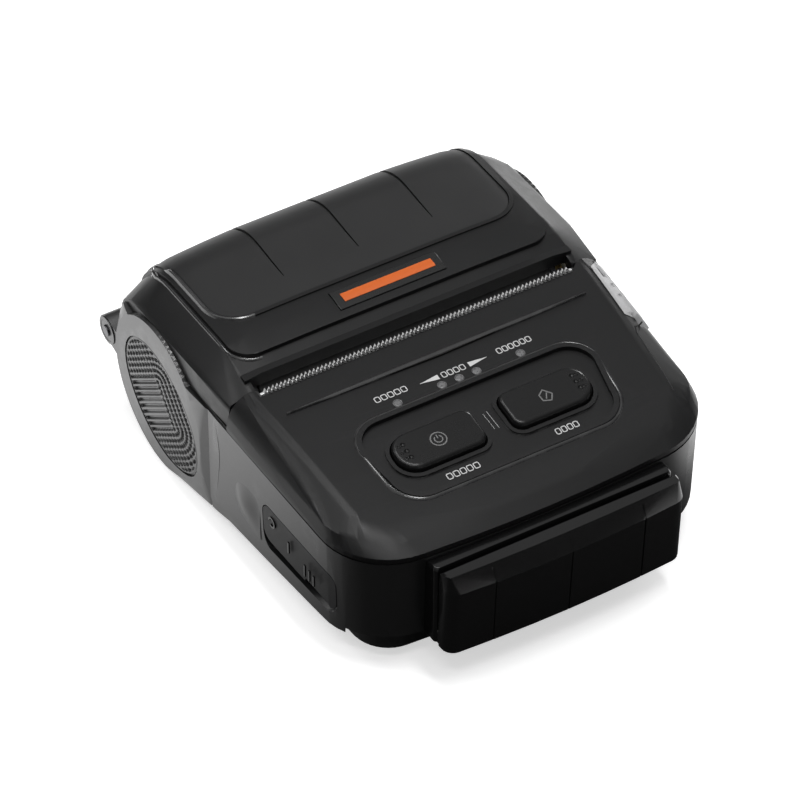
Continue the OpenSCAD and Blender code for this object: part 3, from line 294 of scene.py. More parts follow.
def floorPaper(name, look):
    # The camera sees pale paper. Reflections see painted light on it beside and behind the case, and painted
    # shade in front
    finish = Finish(name, Specular_IOR_Level=0.0, Emission_Strength=1.0)
    tone, black = look["tone"], (0, 0, 0)
    fibre = finish.noise(2.0, 4)
    camera = finish.add("ShaderNodeLightPath", {}, {}, "Is Camera Ray")
    x = finish.add("ShaderNodeSeparateXYZ", {}, {0: finish.place}, "X")
    y = finish.add("ShaderNodeSeparateXYZ", {}, {0: finish.place}, "Y")
    # Painted light: the part of the paper that reflections see as lit
    lit = x.maths("MAXIMUM", y.above(*look["paintedLitY"]), x.above(*look["paintedLitX"]))
    paper = finish.mix(fibre, scaled(tone, 0.995), tone)
    # Reflections see painted shade outside it, and a painted glow inside it, though no lamp is there
    colour = finish.mix(camera, finish.mix(lit, look["paintedMirrorShade"], paper), paper)
    glow = finish.mix(camera, finish.mix(lit, black, look["paintedMirrorGlow"]), look["glow"])
    finish.plug(finish.shader.inputs["Emission Color"], glow)
    return finish.paint(colour, 0.95)


finishes = {
    # tone is the colour, rough the roughness, grain the size of the texture in mm, depth its height in mm
    "coverPlastic": mouldedPlastic("coverPlastic", (0.0055, 0.0055, 0.0058), 0.4, 0.3, 0.012, specular=0.28),
    "casePlastic": mouldedPlastic("casePlastic", (0.0065, 0.0065, 0.0068), 0.34, 0.34, 0.008, specular=0.9),
    "gripPlastic": mouldedPlastic("gripPlastic", (0.0065, 0.0065, 0.0068), 0.34, 0.3, 0.006, specular=0.8),
    "readerPlastic": mouldedPlastic("readerPlastic", (0.0035, 0.0035, 0.0036), 0.2, 0.5, 0.003, specular=0.6),
    "keyPlastic": mouldedPlastic("keyPlastic", (0.006, 0.006, 0.0062), 0.3, 0.28, 0.006, specular=0.3),
    "badgePlastic": mouldedPlastic("badgePlastic", (0.006, 0.006, 0.006), 0.3, 0.25, 0.006),
    "rimPlastic": mouldedPlastic("rimPlastic", (0.016, 0.016, 0.0165), 0.22, 0.3, 0.003, (0.1, 0.1, 0.1),
                                 specular=1.0),
    "greyPlastic": mouldedPlastic("greyPlastic", (0.09, 0.09, 0.092), 0.32, 0.3, 0.006),
    "leverPlastic": mouldedPlastic("leverPlastic", (0.36, 0.36, 0.365), 0.40, 0.30, 0.010, (0.5, 0.5, 0.5)),
    "innerPlastic": mouldedPlastic("innerPlastic", (0.045, 0.045, 0.05), 0.5, 0.35, 0.012),
    "gearPlastic": mouldedPlastic("gearPlastic", (0.72, 0.71, 0.66), 0.42, 0.4, 0.006, (0.8, 0.79, 0.75)),
    "packPlastic": mouldedPlastic("packPlastic", (0.02, 0.02, 0.022), 0.46, 0.4, 0.014),
    "padRubber": softRubber("padRubber", (0.012, 0.012, 0.0123), 0.5),
    "flapRubber": softRubber("flapRubber", (0.014, 0.014, 0.0145), 0.5),
    "rollerRubber": softRubber("rollerRubber", (0.03, 0.03, 0.03), 0.7, 0.2),
    "steel": metal("steel", (0.72, 0.72, 0.73), 0.26, (1, 9, 1)),
    # Steel of the tear teeth, made lighter and less metallic than the steel above: painted light, so the
    # teeth read white as if lit
    "toothSteelPaintedSheen": metal("toothSteelPaintedSheen", (0.86, 0.86, 0.86), 0.4, (1, 9, 1), metallic=0.25),
    "springSteel": metal("springSteel", (0.55, 0.55, 0.56), 0.3, (1, 1, 1), 0.4),
    "darkSteel": metal("darkSteel", (0.10, 0.10, 0.105), 0.3, (1, 1, 1), 0.3),
    "brass": metal("brass", (0.78, 0.58, 0.26), 0.3, (1, 1, 1), 0.3),
    "aluminium": metal("aluminium", (0.7, 0.7, 0.72), 0.38, (0.12, 1, 1), 0.2),
    "headCeramic": printedInk("headCeramic", (0.70, 0.69, 0.62), 0.3),
    "greyInk": printedInk("greyInk", (0.16, 0.16, 0.16)),
    "whiteInk": printedInk("whiteInk", (0.58, 0.58, 0.58)),
    "orangeInk": printedInk("orangeInk", (0.62, 0.115, 0.010)),
    "lens": smokyLens("lens"),
    "board": circuitBoard("board"),
}
print("finishes made:", len(finishes))


# Helpers that work on one mesh at a time

def pickNothing():
    if bpy.context.object and bpy.context.object.mode != "OBJECT":
        bpy.ops.object.mode_set(mode="OBJECT")
    bpy.ops.object.select_all(action="DESELECT")


def pickOnly(piece):
    pickNothing()
    piece.select_set(True)
    bpy.context.view_layer.objects.active = piece


def modify(piece, kind, **settings):
    pickOnly(piece)
    modifier = piece.modifiers.new(kind.lower(), kind)
    for key, setting in settings.items():
        setattr(modifier, key, setting)
    bpy.ops.object.modifier_apply(modifier=modifier.name)


edgeCare = {
    "doubles": 0.002,             # mm, points closer than this are one
    "flat": 0.4,                  # degrees, faces that meet flatter than this are joined
    "sharp": 32,                  # degrees, folds from here on get a small rounded edge
    "smooth": 38,                 # degrees, folds below this are shaded smooth
    "weight": 60,                 # keeps broad faces flat beside rounded edges
}


def smoothEdges(piece):
    pickOnly(piece)
    bpy.ops.object.shade_smooth_by_angle(angle=math.radians(edgeCare["smooth"]))
    modify(piece, "WEIGHTED_NORMAL", keep_sharp=True, weight=edgeCare["weight"])


def coat(piece, finish):
    piece.data.materials.clear()
    piece.data.materials.append(finishes[finish])


def copyOfNode(node, name):
    source = frame["nodes"][node]
    piece = bpy.data.objects.new(name, source.data.copy())
    bpy.context.collection.objects.link(piece)
    pickOnly(piece)
    bpy.ops.object.mode_set(mode="EDIT")
    bpy.ops.mesh.select_all(action="SELECT")
    bpy.ops.mesh.remove_doubles(threshold=edgeCare["doubles"] * mm)
    bpy.ops.mesh.dissolve_limited(angle_limit=math.radians(edgeCare["flat"]))
    bpy.ops.object.mode_set(mode="OBJECT")
    return piece


def softenEdges(piece, width):
    modify(piece, "BEVEL", width=width * mm, segments=2, limit_method="ANGLE",
           angle_limit=math.radians(edgeCare["sharp"]), use_clamp_overlap=True, harden_normals=False)


def stepUp(value, low, high):
    # Runs smoothly from 0 at low to 1 at high
    t = min(1.0, max(0.0, (value - low) / (high - low)))
    return t * t * (3 - 2 * t)


def between(value, table):
    # Reads a table of (place, result) along straight lines
    if value <= table[0][0]:
        return table[0][1]
    for (x0, y0), (x1, y1) in zip(table, table[1:]):
        if value <= x1:
            return y0 + (y1 - y0) * (value - x0) / (x1 - x0)
    return table[-1][1]


def cutAcross(piece, axis, places):
    # Adds edges where a piece has to bend
    mesh = bmesh.new()
    mesh.from_mesh(piece.data)
    normal = Vector((float(axis == 0), float(axis == 1), float(axis == 2)))
    for place in places:
        everything = mesh.verts[:] + mesh.edges[:] + mesh.faces[:]
        bmesh.ops.bisect_plane(mesh, geom=everything, dist=1e-6, plane_co=normal * place * mm,
                               plane_no=normal)
    mesh.to_mesh(piece.data)
    mesh.free()


def bend(piece, rule):
    # The rule takes and gives places in mm
    for vertex in piece.data.vertices:
        vertex.co = Vector(rule(*(vertex.co / mm))) * mm


def roundEdges(piece, width, segments, chosen):
    # Rounds the edges whose middle and fold angle are chosen, wider than the rest
    mesh = bmesh.new()
    mesh.from_mesh(piece.data)
    picks = []
    for edge in mesh.edges:
        middle = (edge.verts[0].co + edge.verts[1].co) / 2 / mm
        fold = math.degrees(edge.calc_face_angle_signed(0)) if len(edge.link_faces) == 2 else 0
        picks.append(1.0 if chosen(middle, fold) else 0.0)
    mesh.free()
    weights = piece.data.attributes.new("bevel_weight_edge", "FLOAT", "EDGE")
    for number, pick in enumerate(picks):
        weights.data[number].value = pick
    modify(piece, "BEVEL", width=width * mm, segments=segments, limit_method="WEIGHT",
           use_clamp_overlap=False, harden_normals=False)


def pieceFrom(mesh, name):
    bmesh.ops.recalc_face_normals(mesh, faces=mesh.faces[:])
    data = bpy.data.meshes.new(name)
    mesh.to_mesh(data)
    mesh.free()
    piece = bpy.data.objects.new(name, data)
    bpy.context.collection.objects.link(piece)
    return piece


def fillGrid(mesh, rows):
    for first, second in zip(rows, rows[1:]):
        for k in range(len(first) - 1):
            mesh.faces.new((first[k], first[k + 1], second[k + 1], second[k]))


def openEdges(mesh):
    return [edge for edge in mesh.edges if len(edge.link_faces) == 1]


def settle(piece, body, finish, slot, *replaced):
    # Last steps that every piece shares
    coat(piece, finish)
    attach(piece, body)
    if replaced:
        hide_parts(*replaced)
    return piece


def dressNode(node, name, finish, slot, edge):
    piece = copyOfNode(node, name)
    early, late = forms.get(name, ([], []))
    for shape in early:
        shape(piece)
    if edge:
        softenEdges(piece, edge)
    for shape in late:
        shape(piece)
    smoothEdges(piece)
    return settle(piece, bodyOfNode[node], finish, slot, node)


# Forms that the solids carry more plainly than the printer has them. All lengths are in mm

caseForm = {
    "half": 51.4,                 # half width at the seam
    "bulgeShare": 0.5,            # how much of the bulges' width stays
    "rollRadius": 25, "rollY": 29,
    "skirtLevel": 12.0, "skirtBend": 7.65,    # the solid's skirt is level up to this y, then follows the roll
    "skirtInner": 47.35,          # the skirt slopes outside this half width
    "skirtTop": 20,               # from this height on the wall stays as it is
    "skirtLine": [(-58.6, 11.9), (-53, 11.2), (-47, 10.4), (-35, 9.3), (-17, 7.8), (0, 6.7), (5, 5.6),
                  (10, 4.4), (15, 3.0), (20, 1.7), (25, 0.6), (29, 0.0)],
    "cutsAlong": range(-56, 29, 4), "cutsUp": (14, 20),
}

coverForm = {
    "arcRadius": 321, "arcY": 5, "arcZ": -274.2,      # the long arc of the top
    "crease": 1.2, "creaseSteps": 5,                  # round-over along the bevels
    "creaseFold": 16, "creaseX": (41.8, 47.5), "creaseFront": -48.8, "creaseRear": -1, "creaseNear": 0.5,
    "bevelFoot": 45.8, "bevelSlant": 3.4 / 51, "bevelEdge": 51.7,
    "bevelLow": 37, "bevelFront": (-57, -48),
    "swell": [(-60, 0.1), (-34, 0.25), (-24, 0.5), (-14, 0.95), (-2, 1.5)],
    "outward": 0.79, "upward": 0.61,
    "cutsAcross": (44.5, 45.6, 46.7, 47.8, 48.9, 50, 50.9), "cutsAlong": (-44, -34, -26, -18, -10, -4),
}

lidForm = {
    "drop": 1.3,                  # how far the rear corners sink
    "dropFrom": 20, "dropOver": 28, "dropY": (14, 42), "dropZ": (34, 44),
    "cutsAcross": (-44, -40, -34, -28, 28, 34, 40, 44),
    "reach": 0.75,                # how far the front ends come forward beside the exit slot
    "reachY": (1.2, 7), "reachX": (43.0, 43.4),
}

leverForm = {"above": 41, "outward": 0.35, "upward": 0.27}

readerForm = {"wider": 1.008, "lower": 0.5, "fadeDown": (-30, -20)}


def coverTop(y):
    return coverForm["arcZ"] + math.sqrt(coverForm["arcRadius"] ** 2 - (y - coverForm["arcY"]) ** 2)


def bevelStart(foot, y):
    return foot + y * coverForm["bevelSlant"]


def plainSkirt(y):
    radius = caseForm["rollRadius"]
    if y < caseForm["skirtBend"]:
        return caseForm["skirtLevel"]
    return radius - math.sqrt(max(0.0, radius ** 2 - (y - caseForm["rollY"]) ** 2))


def slimSides(piece):
    half = caseForm["half"]

    def rule(x, y, z):
        over = abs(x) - half
        return (math.copysign(half + over * caseForm["bulgeShare"], x), y, z) if over > 0 else (x, y, z)
    bend(piece, rule)


def slopeSkirt(piece):
    inner, top = caseForm["skirtInner"], caseForm["skirtTop"]
    cutAcross(piece, 0, (-inner, inner))
    cutAcross(piece, 1, caseForm["cutsAlong"])
    cutAcross(piece, 2, caseForm["cutsUp"])

    def rule(x, y, z):
        if abs(x) <= inner or z >= top or y > caseForm["rollY"]:
            return x, y, z
        stretch = (top - between(y, caseForm["skirtLine"])) / (top - plainSkirt(y))
        return x, y, top - (top - z) * stretch
    bend(piece, rule)


def dropLidCorners(piece):
    cutAcross(piece, 0, lidForm["cutsAcross"])

    def rule(x, y, z):
        side = max(0.0, (abs(x) - lidForm["dropFrom"]) / lidForm["dropOver"])
        drop = lidForm["drop"] * side * side * stepUp(y, *lidForm["dropY"]) * stepUp(z, *lidForm["dropZ"])
        return x, y, z - drop
    bend(piece, rule)


def closeSplit(piece):
    def rule(x, y, z):
        reach = lidForm["reach"] * (1 - stepUp(y, *lidForm["reachY"])) * stepUp(abs(x), *lidForm["reachX"])
        return x, y - reach, z
    bend(piece, rule)


def swellBevels(piece):
    cuts, edge = coverForm["cutsAcross"], coverForm["bevelEdge"]
    front, full = coverForm["bevelFront"]
    cutAcross(piece, 0, [-place for place in cuts] + list(cuts))
    cutAcross(piece, 1, coverForm["cutsAlong"])

    def rule(x, y, z):
        start = bevelStart(coverForm["bevelFoot"], y)
        place = (abs(x) - start) / (edge - start)
        if place <= 0 or y < front or z < coverForm["bevelLow"]:
            return x, y, z
        swell = between(y, coverForm["swell"]) * math.sin(math.pi * min(1.0, place)) * stepUp(y, front, full)
        return x + math.copysign(coverForm["outward"] * swell, x), y, z + coverForm["upward"] * swell
    bend(piece, rule)


def roundCover(piece):
    inner, outer = coverForm["creaseX"]

    def crease(middle, fold):
        outside = abs(middle.x) > inner or middle.y < coverForm["creaseFront"]
        onTop = abs(middle.z - coverTop(middle.y)) < coverForm["creaseNear"]
        folded = abs(fold) > coverForm["creaseFold"]
        return outside and folded and middle.y < coverForm["creaseRear"] and onTop and abs(middle.x) < outer
    roundEdges(piece, coverForm["crease"], coverForm["creaseSteps"], crease)


def raiseLever(piece):
    def rule(x, y, z):
        return (x + leverForm["outward"], y, z + leverForm["upward"]) if z > leverForm["above"] else (x, y, z)
    bend(piece, rule)


def lowerReader(piece):
    def rule(x, y, z):
        return x * readerForm["wider"], y, z - readerForm["lower"] * stepUp(-z, *readerForm["fadeDown"])
    bend(piece, rule)


# Each piece names what shapes it before its small edges are rounded, and what afterwards
forms = {
    "caseShell": ([], [slopeSkirt, slimSides]),
    "hingeCaps": ([], [slimSides]),
    "coverShell": ([roundCover], [swellBevels]),
    "releaseLever": ([], [raiseLever, swellBevels]),
    "lidShell": ([], [dropLidCorners, closeSplit]),
    "lidPad": ([], [dropLidCorners]),
    "readerRear": ([], [lowerReader]),
    "readerFront": ([], [lowerReader]),
}


# Pieces that keep the form of their solid and get rounded edges and a finish

dressed = [
    # node, piece, finish, material slot, edge radius in mm
    ("lower_case", "caseShell", "casePlastic", "case_plastic", 0.1),
    ("battery_bay", "batteryBay", "innerPlastic", "inner_plastic", 0.2),
    ("base_plate", "basePlinth", "packPlastic", "case_plastic", 0.3),
    ("case_screws", "caseScrews", "steel", "steel", 0.12),
    ("top_cover", "coverShell", "coverPlastic", "cover_plastic", 0.3),
    ("tear_bar", "tearBlade", "toothSteelPaintedSheen", "steel", 0.05),
    ("indicator_lenses", "lampLenses", "lens", "lens_plastic", 0.2),
    ("power_button", "powerKey", "keyPlastic", "key_plastic", 0.2),
    ("feed_button", "feedKey", "keyPlastic", "key_plastic", 0.2),
    ("key_switches", "keySwitches", "innerPlastic", "inner_plastic", 0.1),
    ("panel_board", "panelBoard", "board", "board", 0.08),
    ("main_board", "mainBoard", "board", "board", 0.08),
    ("release_lever", "releaseLever", "leverPlastic", "lever_plastic", 0.25),
    ("latch_bar", "latchBar", "innerPlastic", "inner_plastic", 0.2),
    ("mech_frame", "mechFrame", "innerPlastic", "inner_plastic", 0.15),
    ("print_head", "printHead", "headCeramic", "head_ceramic", 0.06),
    ("heat_sink", "heatSink", "aluminium", "aluminium", 0.15),
    ("head_pin", "headPin", "steel", "steel", 0.1),
    ("head_springs", "headSprings", "springSteel", "steel", 0.1),
    ("motor", "stepMotor", "steel", "steel", 0.3),
    ("motor_pinion", "motorPinion", "brass", "brass", 0.04),
    ("idler_gear", "idlerGear", "gearPlastic", "gear_plastic", 0.05),
    ("idler_pin", "idlerPin", "steel", "steel", 0.1),
    ("paper_cradle", "paperCradle", "innerPlastic", "inner_plastic", 0.2),
    ("paper_sensor", "paperSensor", "keyPlastic", "key_plastic", 0.15),
    ("lid_cover", "lidShell", "coverPlastic", "cover_plastic", 0.3),
    ("lid_pad", "lidPad", "padRubber", "pad_rubber", 0.25),
    ("badge_plate", "badgePlate", "badgePlastic", "cover_plastic", 0.15),
    ("lid_beam", "lidBeam", "innerPlastic", "inner_plastic", 0.2),
    ("platen_roller", "platenRoller", "rollerRubber", "roller_rubber", 0.2),
    ("platen_shaft", "platenShaft", "steel", "steel", 0.1),
    ("platen_gear", "platenGear", "gearPlastic", "gear_plastic", 0.05),
    ("platen_bushes", "platenBushes", "brass", "brass", 0.08),
    ("hinge_pin", "hingePin", "darkSteel", "steel", 0.15),
    ("hinge_caps", "hingeCaps", "casePlastic", "case_plastic", 0.2),
    ("lid_spring", "lidSpring", "springSteel", "steel", 0),
    ("port_flap", "portFlap", "flapRubber", "pad_rubber", 0.25),
    ("port_board", "portBoard", "board", "board", 0.06),
    ("dc_jack", "powerInlet", "keyPlastic", "key_plastic", 0.15),
    ("usb_socket", "dataSocket", "steel", "steel", 0.12),
    ("battery_pack", "batteryPack", "packPlastic", "pack_plastic", 0.4),
    ("battery_latch", "batteryCatch", "innerPlastic", "inner_plastic", 0.15),
    ("battery_contacts", "batteryContacts", "brass", "brass", 0.1),
    ("reader_rear", "readerRear", "readerPlastic", "cover_plastic", 0.4),
    ("reader_front", "readerFront", "readerPlastic", "cover_plastic", 0.45),
    ("reader_head", "readerHead", "steel", "steel", 0.15),
]
pieces = {}
for node, name, finish, slot, edge in dressed:
    pieces[name] = dressNode(node, name, finish, slot, edge)
print("dressed pieces:", len(pieces))


# Raised and sunk details that are drawn as meshes of their own

class Relief:
    wedgeTip = 0.05               # width that is left at the thin end of a wedge
    taperTip, taperPower = 0.06, 0.6
    shoulder = 0.75               # height of a crown halfway to its edge
    above, bare = 80, 45.0        # mm, where the rays down to the skins start, and the height where they miss

    def __init__(self, *skins):
        self.mesh = bmesh.new()
        self.trees = [BVHTree.FromPolygons([vertex.co for vertex in skin.data.vertices],
                                           [face.vertices for face in skin.data.polygons]) for skin in skins]

    def height(self, x, y):
        start, down = Vector((x, y, self.above)) * mm, Vector((0, 0, -1))
        hits = [tree.ray_cast(start, down)[0] for tree in self.trees]
        return max([hit.z / mm for hit in hits if hit] or [self.bare])

    def loft(self, rings, closed=False):
        rows = [[self.mesh.verts.new(Vector(point) * mm) for point in ring] for ring in rings]
        for first, second in zip(rows, rows[1:] + (rows[:1] if closed else [])):
            for k in range(len(first)):
                self.mesh.faces.new((first[k - 1], first[k], second[k], second[k - 1]))
        if not closed:
            self.mesh.faces.new(rows[0])
            self.mesh.faces.new(reversed(rows[-1]))

    def stations(self, path, step, closed):
        ends = path + path[:1] if closed else path
        spots = []
        for (x0, y0), (x1, y1) in zip(ends, ends[1:]):
            count = max(1, round(math.hypot(x1 - x0, y1 - y0) / step))
            spots += [(x0 + (x1 - x0) * k / count, y0 + (y1 - y0) * k / count) for k in range(count)]
        if not closed:
            spots.append(path[-1])
        return spots

    def across(self, spots, k, closed):
        last = len(spots)
        before = spots[(k - 1) % last] if closed or k else spots[k]
        after = spots[(k + 1) % last] if closed or k < last - 1 else spots[k]
        dx, dy = after[0] - before[0], after[1] - before[1]
        size = math.hypot(dx, dy) or 1.0
        return -dy / size, dx / size

    def strip(self, path, width, lift, closed=False, ends="flat", sink=0.3, step=0.8, height=None, crown=0.0):
        # A raised line along a path. Its foot lies sink mm below the skin, or below the height given for y
        spots = self.stations(path, step, closed)
        rings = []
        for k, (x, y) in enumerate(spots):
            share = k / (len(spots) - 1) if len(spots) > 1 else 0
            half = width / 2
            if ends == "wedge":
                half *= max(self.wedgeTip, share)
            if ends == "taper":
                half *= max(self.taperTip, math.sin(math.pi * share)) ** self.taperPower
            nx, ny = self.across(spots, k, closed)
            left, right = (x + nx * half, y + ny * half), (x - nx * half, y - ny * half)
            zLeft, zRight = [height(spot[1]) if height else self.height(*spot) for spot in (left, right)]
            middle = (zLeft + zRight) / 2
            ring = [(*left, middle - sink), (*left, zLeft + lift)]
            for place, part in ((0.5, self.shoulder), (0, 1), (-0.5, self.shoulder)) if crown else ():
                ring.append((x + nx * half * place, y + ny * half * place, middle + lift + crown * part))
            ring += [(*right, zRight + lift), (*right, middle - sink)]
            rings.append(ring)
        self.loft(rings, closed)

    def block(self, x0, y0, z0, x1, y1, z1):
        self.loft([[(x, y0, z0), (x, y1, z0), (x, y1, z1), (x, y0, z1)] for x in (x0, x1)])

    def done(self, name, body, finish, slot, place=None):
        for vertex in self.mesh.verts if place else []:
            vertex.co = Vector(place(*(vertex.co / mm))) * mm
        piece = pieceFrom(self.mesh, name)
        smoothEdges(piece)
        pieces[name] = settle(piece, body, finish, slot)


def arcPath(cx, cy, radius, start, end, steps=16):
    angles = [math.radians(start + (end - start) * k / steps) for k in range(steps + 1)]
    return [(cx + radius * math.cos(a), cy + radius * math.sin(a)) for a in angles]


def roundedPath(x0, x1, y0, y1, radius, steps=6):
    spots = []
    for cx, cy, start in ((x1 - radius, y1 - radius, 0), (x0 + radius, y1 - radius, 90),
                          (x0 + radius, y0 + radius, 180), (x1 - radius, y0 + radius, 270)):
        spots += arcPath(cx, cy, radius, start, start + 90, steps)
    return spots


caseBody, cover, lid = [bodyOfNode[node] for node in ("lower_case", "top_cover", "lid_cover")]
coverSkin, lidSkin = pieces["coverShell"], pieces["lidShell"]
keyCaps = {
    "powerKey": {"body": bodyOfNode["power_button"], "ring": "powerRing", "side": -1},
    "feedKey": {"body": bodyOfNode["feed_button"], "ring": "feedRing", "side": 1},
}


# Dimpled grip ovals

grip = {
    "centre": (31.1, 19.7), "long": 18.4, "short": 14.4, "lean": 25,    # mm, y and z of the oval
    "face": 52.35, "dome": 0.12, "thick": 0.7,
    "rise": (-0.767, 0.642),      # direction the rows point to, in y and z
    "stretch": 1.6, "pitch": 1.5, "spacing": 1.2, "radius": 0.52, "depth": 0.8, "round": 0.6,
    "bend": 2.2, "corner": 6.0,   # where rows turn into lines, and half the length of the shortest line
    "slotStart": 0.4, "slotFade": 1.6, "slotHalf": 7.4, "slotSide": 1.5, "slotMiddle": -0.5,
    "slotNarrow": 1.15,           # dimples run together into slots in the middle of the rows
    "rows": 168, "columns": 132, "reach": 0.9985,
    "lip": 0.25, "lipWidth": 0.03, "margin": (0.035, 0.06), "smooth": 60,
}


def gripDent(s, t):
    # Depth of the pattern from 0 to 1, s along the rows and t across them
    s = s / grip["stretch"]
    past, far = s - grip["bend"], abs(t) - grip["corner"]
    if past < 0:
        line, along = far, past
    elif far < 0:
        line, along = past, t
    else:
        line, along = math.hypot(past, far), math.atan2(past, far) * grip["corner"]
    a = line - round(line / grip["pitch"]) * grip["pitch"]
    b = along - round(along / grip["spacing"]) * grip["spacing"]
    if past < 0:
        slot = stepUp(-past - grip["slotStart"], 0, grip["slotFade"])
        slot *= stepUp(grip["slotHalf"] - abs(t - grip["slotMiddle"]), 0, grip["slotSide"])
        b *= 1 - slot
        if b == 0 or far < -grip["slotStart"]:
            a *= grip["slotNarrow"]
    reach = math.hypot(a, b) / grip["radius"]
    return max(0.0, 1 - reach ** 2) ** grip["round"] if reach < 1 else 0.0


def gripOval(s, t):
    # The oval's own coordinates, in which its edge is a circle of radius 1
    lean, (upY, upZ) = math.radians(grip["lean"]), grip["rise"]
    y, z = s * upY - t * upZ, s * upZ + t * upY
    return ((y * math.cos(lean) + z * math.sin(lean)) / grip["long"],
            (-y * math.sin(lean) + z * math.cos(lean)) / grip["short"])


def makeGrip(name, side, node):
    # Rows of the grid run along the rise, and each ends on the oval
    mesh = bmesh.new()
    upY, upZ = grip["rise"]
    (a1, b1), (a2, b2) = gripOval(1, 0), gripOval(0, 1)
    qa, cross, qc = a1 * a1 + b1 * b1, a1 * a2 + b1 * b2, a2 * a2 + b2 * b2
    halfWidth = math.sqrt(qa / (qa * qc - cross ** 2)) * grip["reach"]
    rows = []
    for row in range(grip["rows"] + 1):
        t = halfWidth * (2 * row / grip["rows"] - 1)
        root = math.sqrt(max(0.0, (2 * t * cross) ** 2 - 4 * qa * (t * t * qc - 1)))
        low, high = (-2 * t * cross - root) / (2 * qa), (-2 * t * cross + root) / (2 * qa)
        line = []
        for column in range(grip["columns"] + 1):
            s = low + (high - low) * column / grip["columns"]
            u, v = gripOval(s, t)
            edge = 1 - math.sqrt(min(1.0, u * u + v * v))
            x = grip["face"] + grip["dome"] * (1 - u * u - v * v)
            x -= grip["lip"] * (1 - stepUp(edge, 0, grip["lipWidth"]))
            x -= grip["depth"] * gripDent(s, t) * stepUp(edge, *grip["margin"])
            y = grip["centre"][0] + s * upY - t * upZ
            z = grip["centre"][1] + s * upZ + t * upY
            line.append(mesh.verts.new(Vector((side * x, y, z)) * mm))
        rows.append(line)
    fillGrid(mesh, rows)
    for made in bmesh.ops.extrude_edge_only(mesh, edges=openEdges(mesh))["geom"]:
        if isinstance(made, bmesh.types.BMVert):
            made.co.x -= side * grip["thick"] * mm
    bmesh.ops.holes_fill(mesh, edges=openEdges(mesh))
    piece = pieceFrom(mesh, name)
    pickOnly(piece)
    bpy.ops.object.shade_smooth_by_angle(angle=math.radians(grip["smooth"]))
    pieces[name] = settle(piece, bodyOfNode[node], "gripPlastic", "case_plastic", node)


makeGrip("gripLeft", -1, "left_grip_panel")
makeGrip("gripRight", 1, "right_grip_panel")
print("grips dimpled")


# Ridge across the cover, and the divider between the keys

ridge = {"path": [(-41.2, -10.9), (40.3, -10.9)], "width": 1.5, "lift": 0.42, "crown": 0.3, "step": 1.2}

keyDivider = {
    # path, width and crown of each line
    "lines": [([(0.6, -31.4), (0.8, -36.9)], 0.5, 0.2), ([(-0.5, -31.6), (-0.3, -36.7)], 0.35, 0.12)],
    "lift": 0.02, "sink": 0.2,
}


def makeRidge():
    relief = Relief(coverSkin)
    relief.strip(ridge["path"], ridge["width"], ridge["lift"], ends="taper", crown=ridge["crown"],
                 step=ridge["step"], height=coverTop)
    for path, width, crown in keyDivider["lines"]:
        relief.strip(path, width, keyDivider["lift"], sink=keyDivider["sink"], crown=crown)
    relief.done("coverRidge", cover, "rimPlastic", "cover_plastic")


# Rounded rim of the recess, and the rings round the keys

rim = {
    "rearHalf": 32.3, "frontHalf": 30.5, "rearY": -21.8, "frontY": -47.6, "radius": 8, "grow": 0.2,
    "width": 1.3, "lift": -0.04, "crown": 0.5, "step": 1.0,
}

keyRing = {
    "inner": 3.7, "outer": 26.1, "front": -40.3, "rear": -29.5, "innerRadius": 2.6, "outerRadius": 4.9,
    "grow": 0.95, "width": 1.05, "crown": 0.4, "step": 0.9,
    "below": 0.5,                 # how far the recess lies below the top
}


def rimPath():
    grow, half = rim["grow"], rim["rearHalf"]
    loop = roundedPath(-half - grow, half + grow, rim["frontY"] - grow, rim["rearY"] + grow,
                       rim["radius"] + grow, 10)
    lean = (half - rim["frontHalf"]) / half / (rim["rearY"] - rim["frontY"])
    return [(x * (1 - lean * (rim["rearY"] - y)), y) for x, y in loop]


def makeRim():
    relief = Relief()
    relief.strip(rimPath(), rim["width"], rim["lift"], closed=True, crown=rim["crown"], step=rim["step"],
                 height=coverTop)
    relief.done("recessRim", cover, "rimPlastic", "cover_plastic")


def keyRingPath(side):
    grow = keyRing["grow"]
    inner, outer = keyRing["innerRadius"] + grow, keyRing["outerRadius"] + grow
    left, right = keyRing["inner"] - grow, keyRing["outer"] + grow
    front, rear = keyRing["front"] - grow, keyRing["rear"] + grow
    loop = arcPath(right - outer, rear - outer, outer, 0, 90, 7)
    loop += arcPath(left + inner, rear - inner, inner, 90, 180, 7)
    loop += arcPath(left + inner, front + inner, inner, 180, 270, 7)
    loop += arcPath(right - outer, front + outer, outer, 270, 360, 7)
    return [(side * x, y) for x, y in loop]


def makeKeyRings():
    for cap in keyCaps.values():
        relief = Relief()
        relief.strip(keyRingPath(cap["side"]), keyRing["width"], 0.0, closed=True, crown=keyRing["crown"],
                     step=keyRing["step"], height=lambda y: coverTop(y) - keyRing["below"])
        relief.done(cap["ring"], cover, "rimPlastic", "cover_plastic")


# Plain outlines stand where a legend could be printed, with a wedge at each side of the middle one

ink = {"lift": 0.03, "sink": 0.1, "step": 0.4}

legend = {
    # from x, to x, y of the middle, how many outlines
    "rows": [(-21.2, -12.3, -16.9, 5), (-3.4, 3.2, -17.4, 4), (11.9, 21.4, -17.0, 6),
             (-17.6, -8.6, -43.9, 5), (11.8, 18.2, -43.9, 4)],
    "share": (0.12, 0.84),        # the part of its pitch that an outline fills
    "half": 0.78, "corner": 0.35, "line": 0.24,
    "wedge": [(9.1, -17.3), (4.1, -17.4)], "wedgeWidth": 1.5,
}


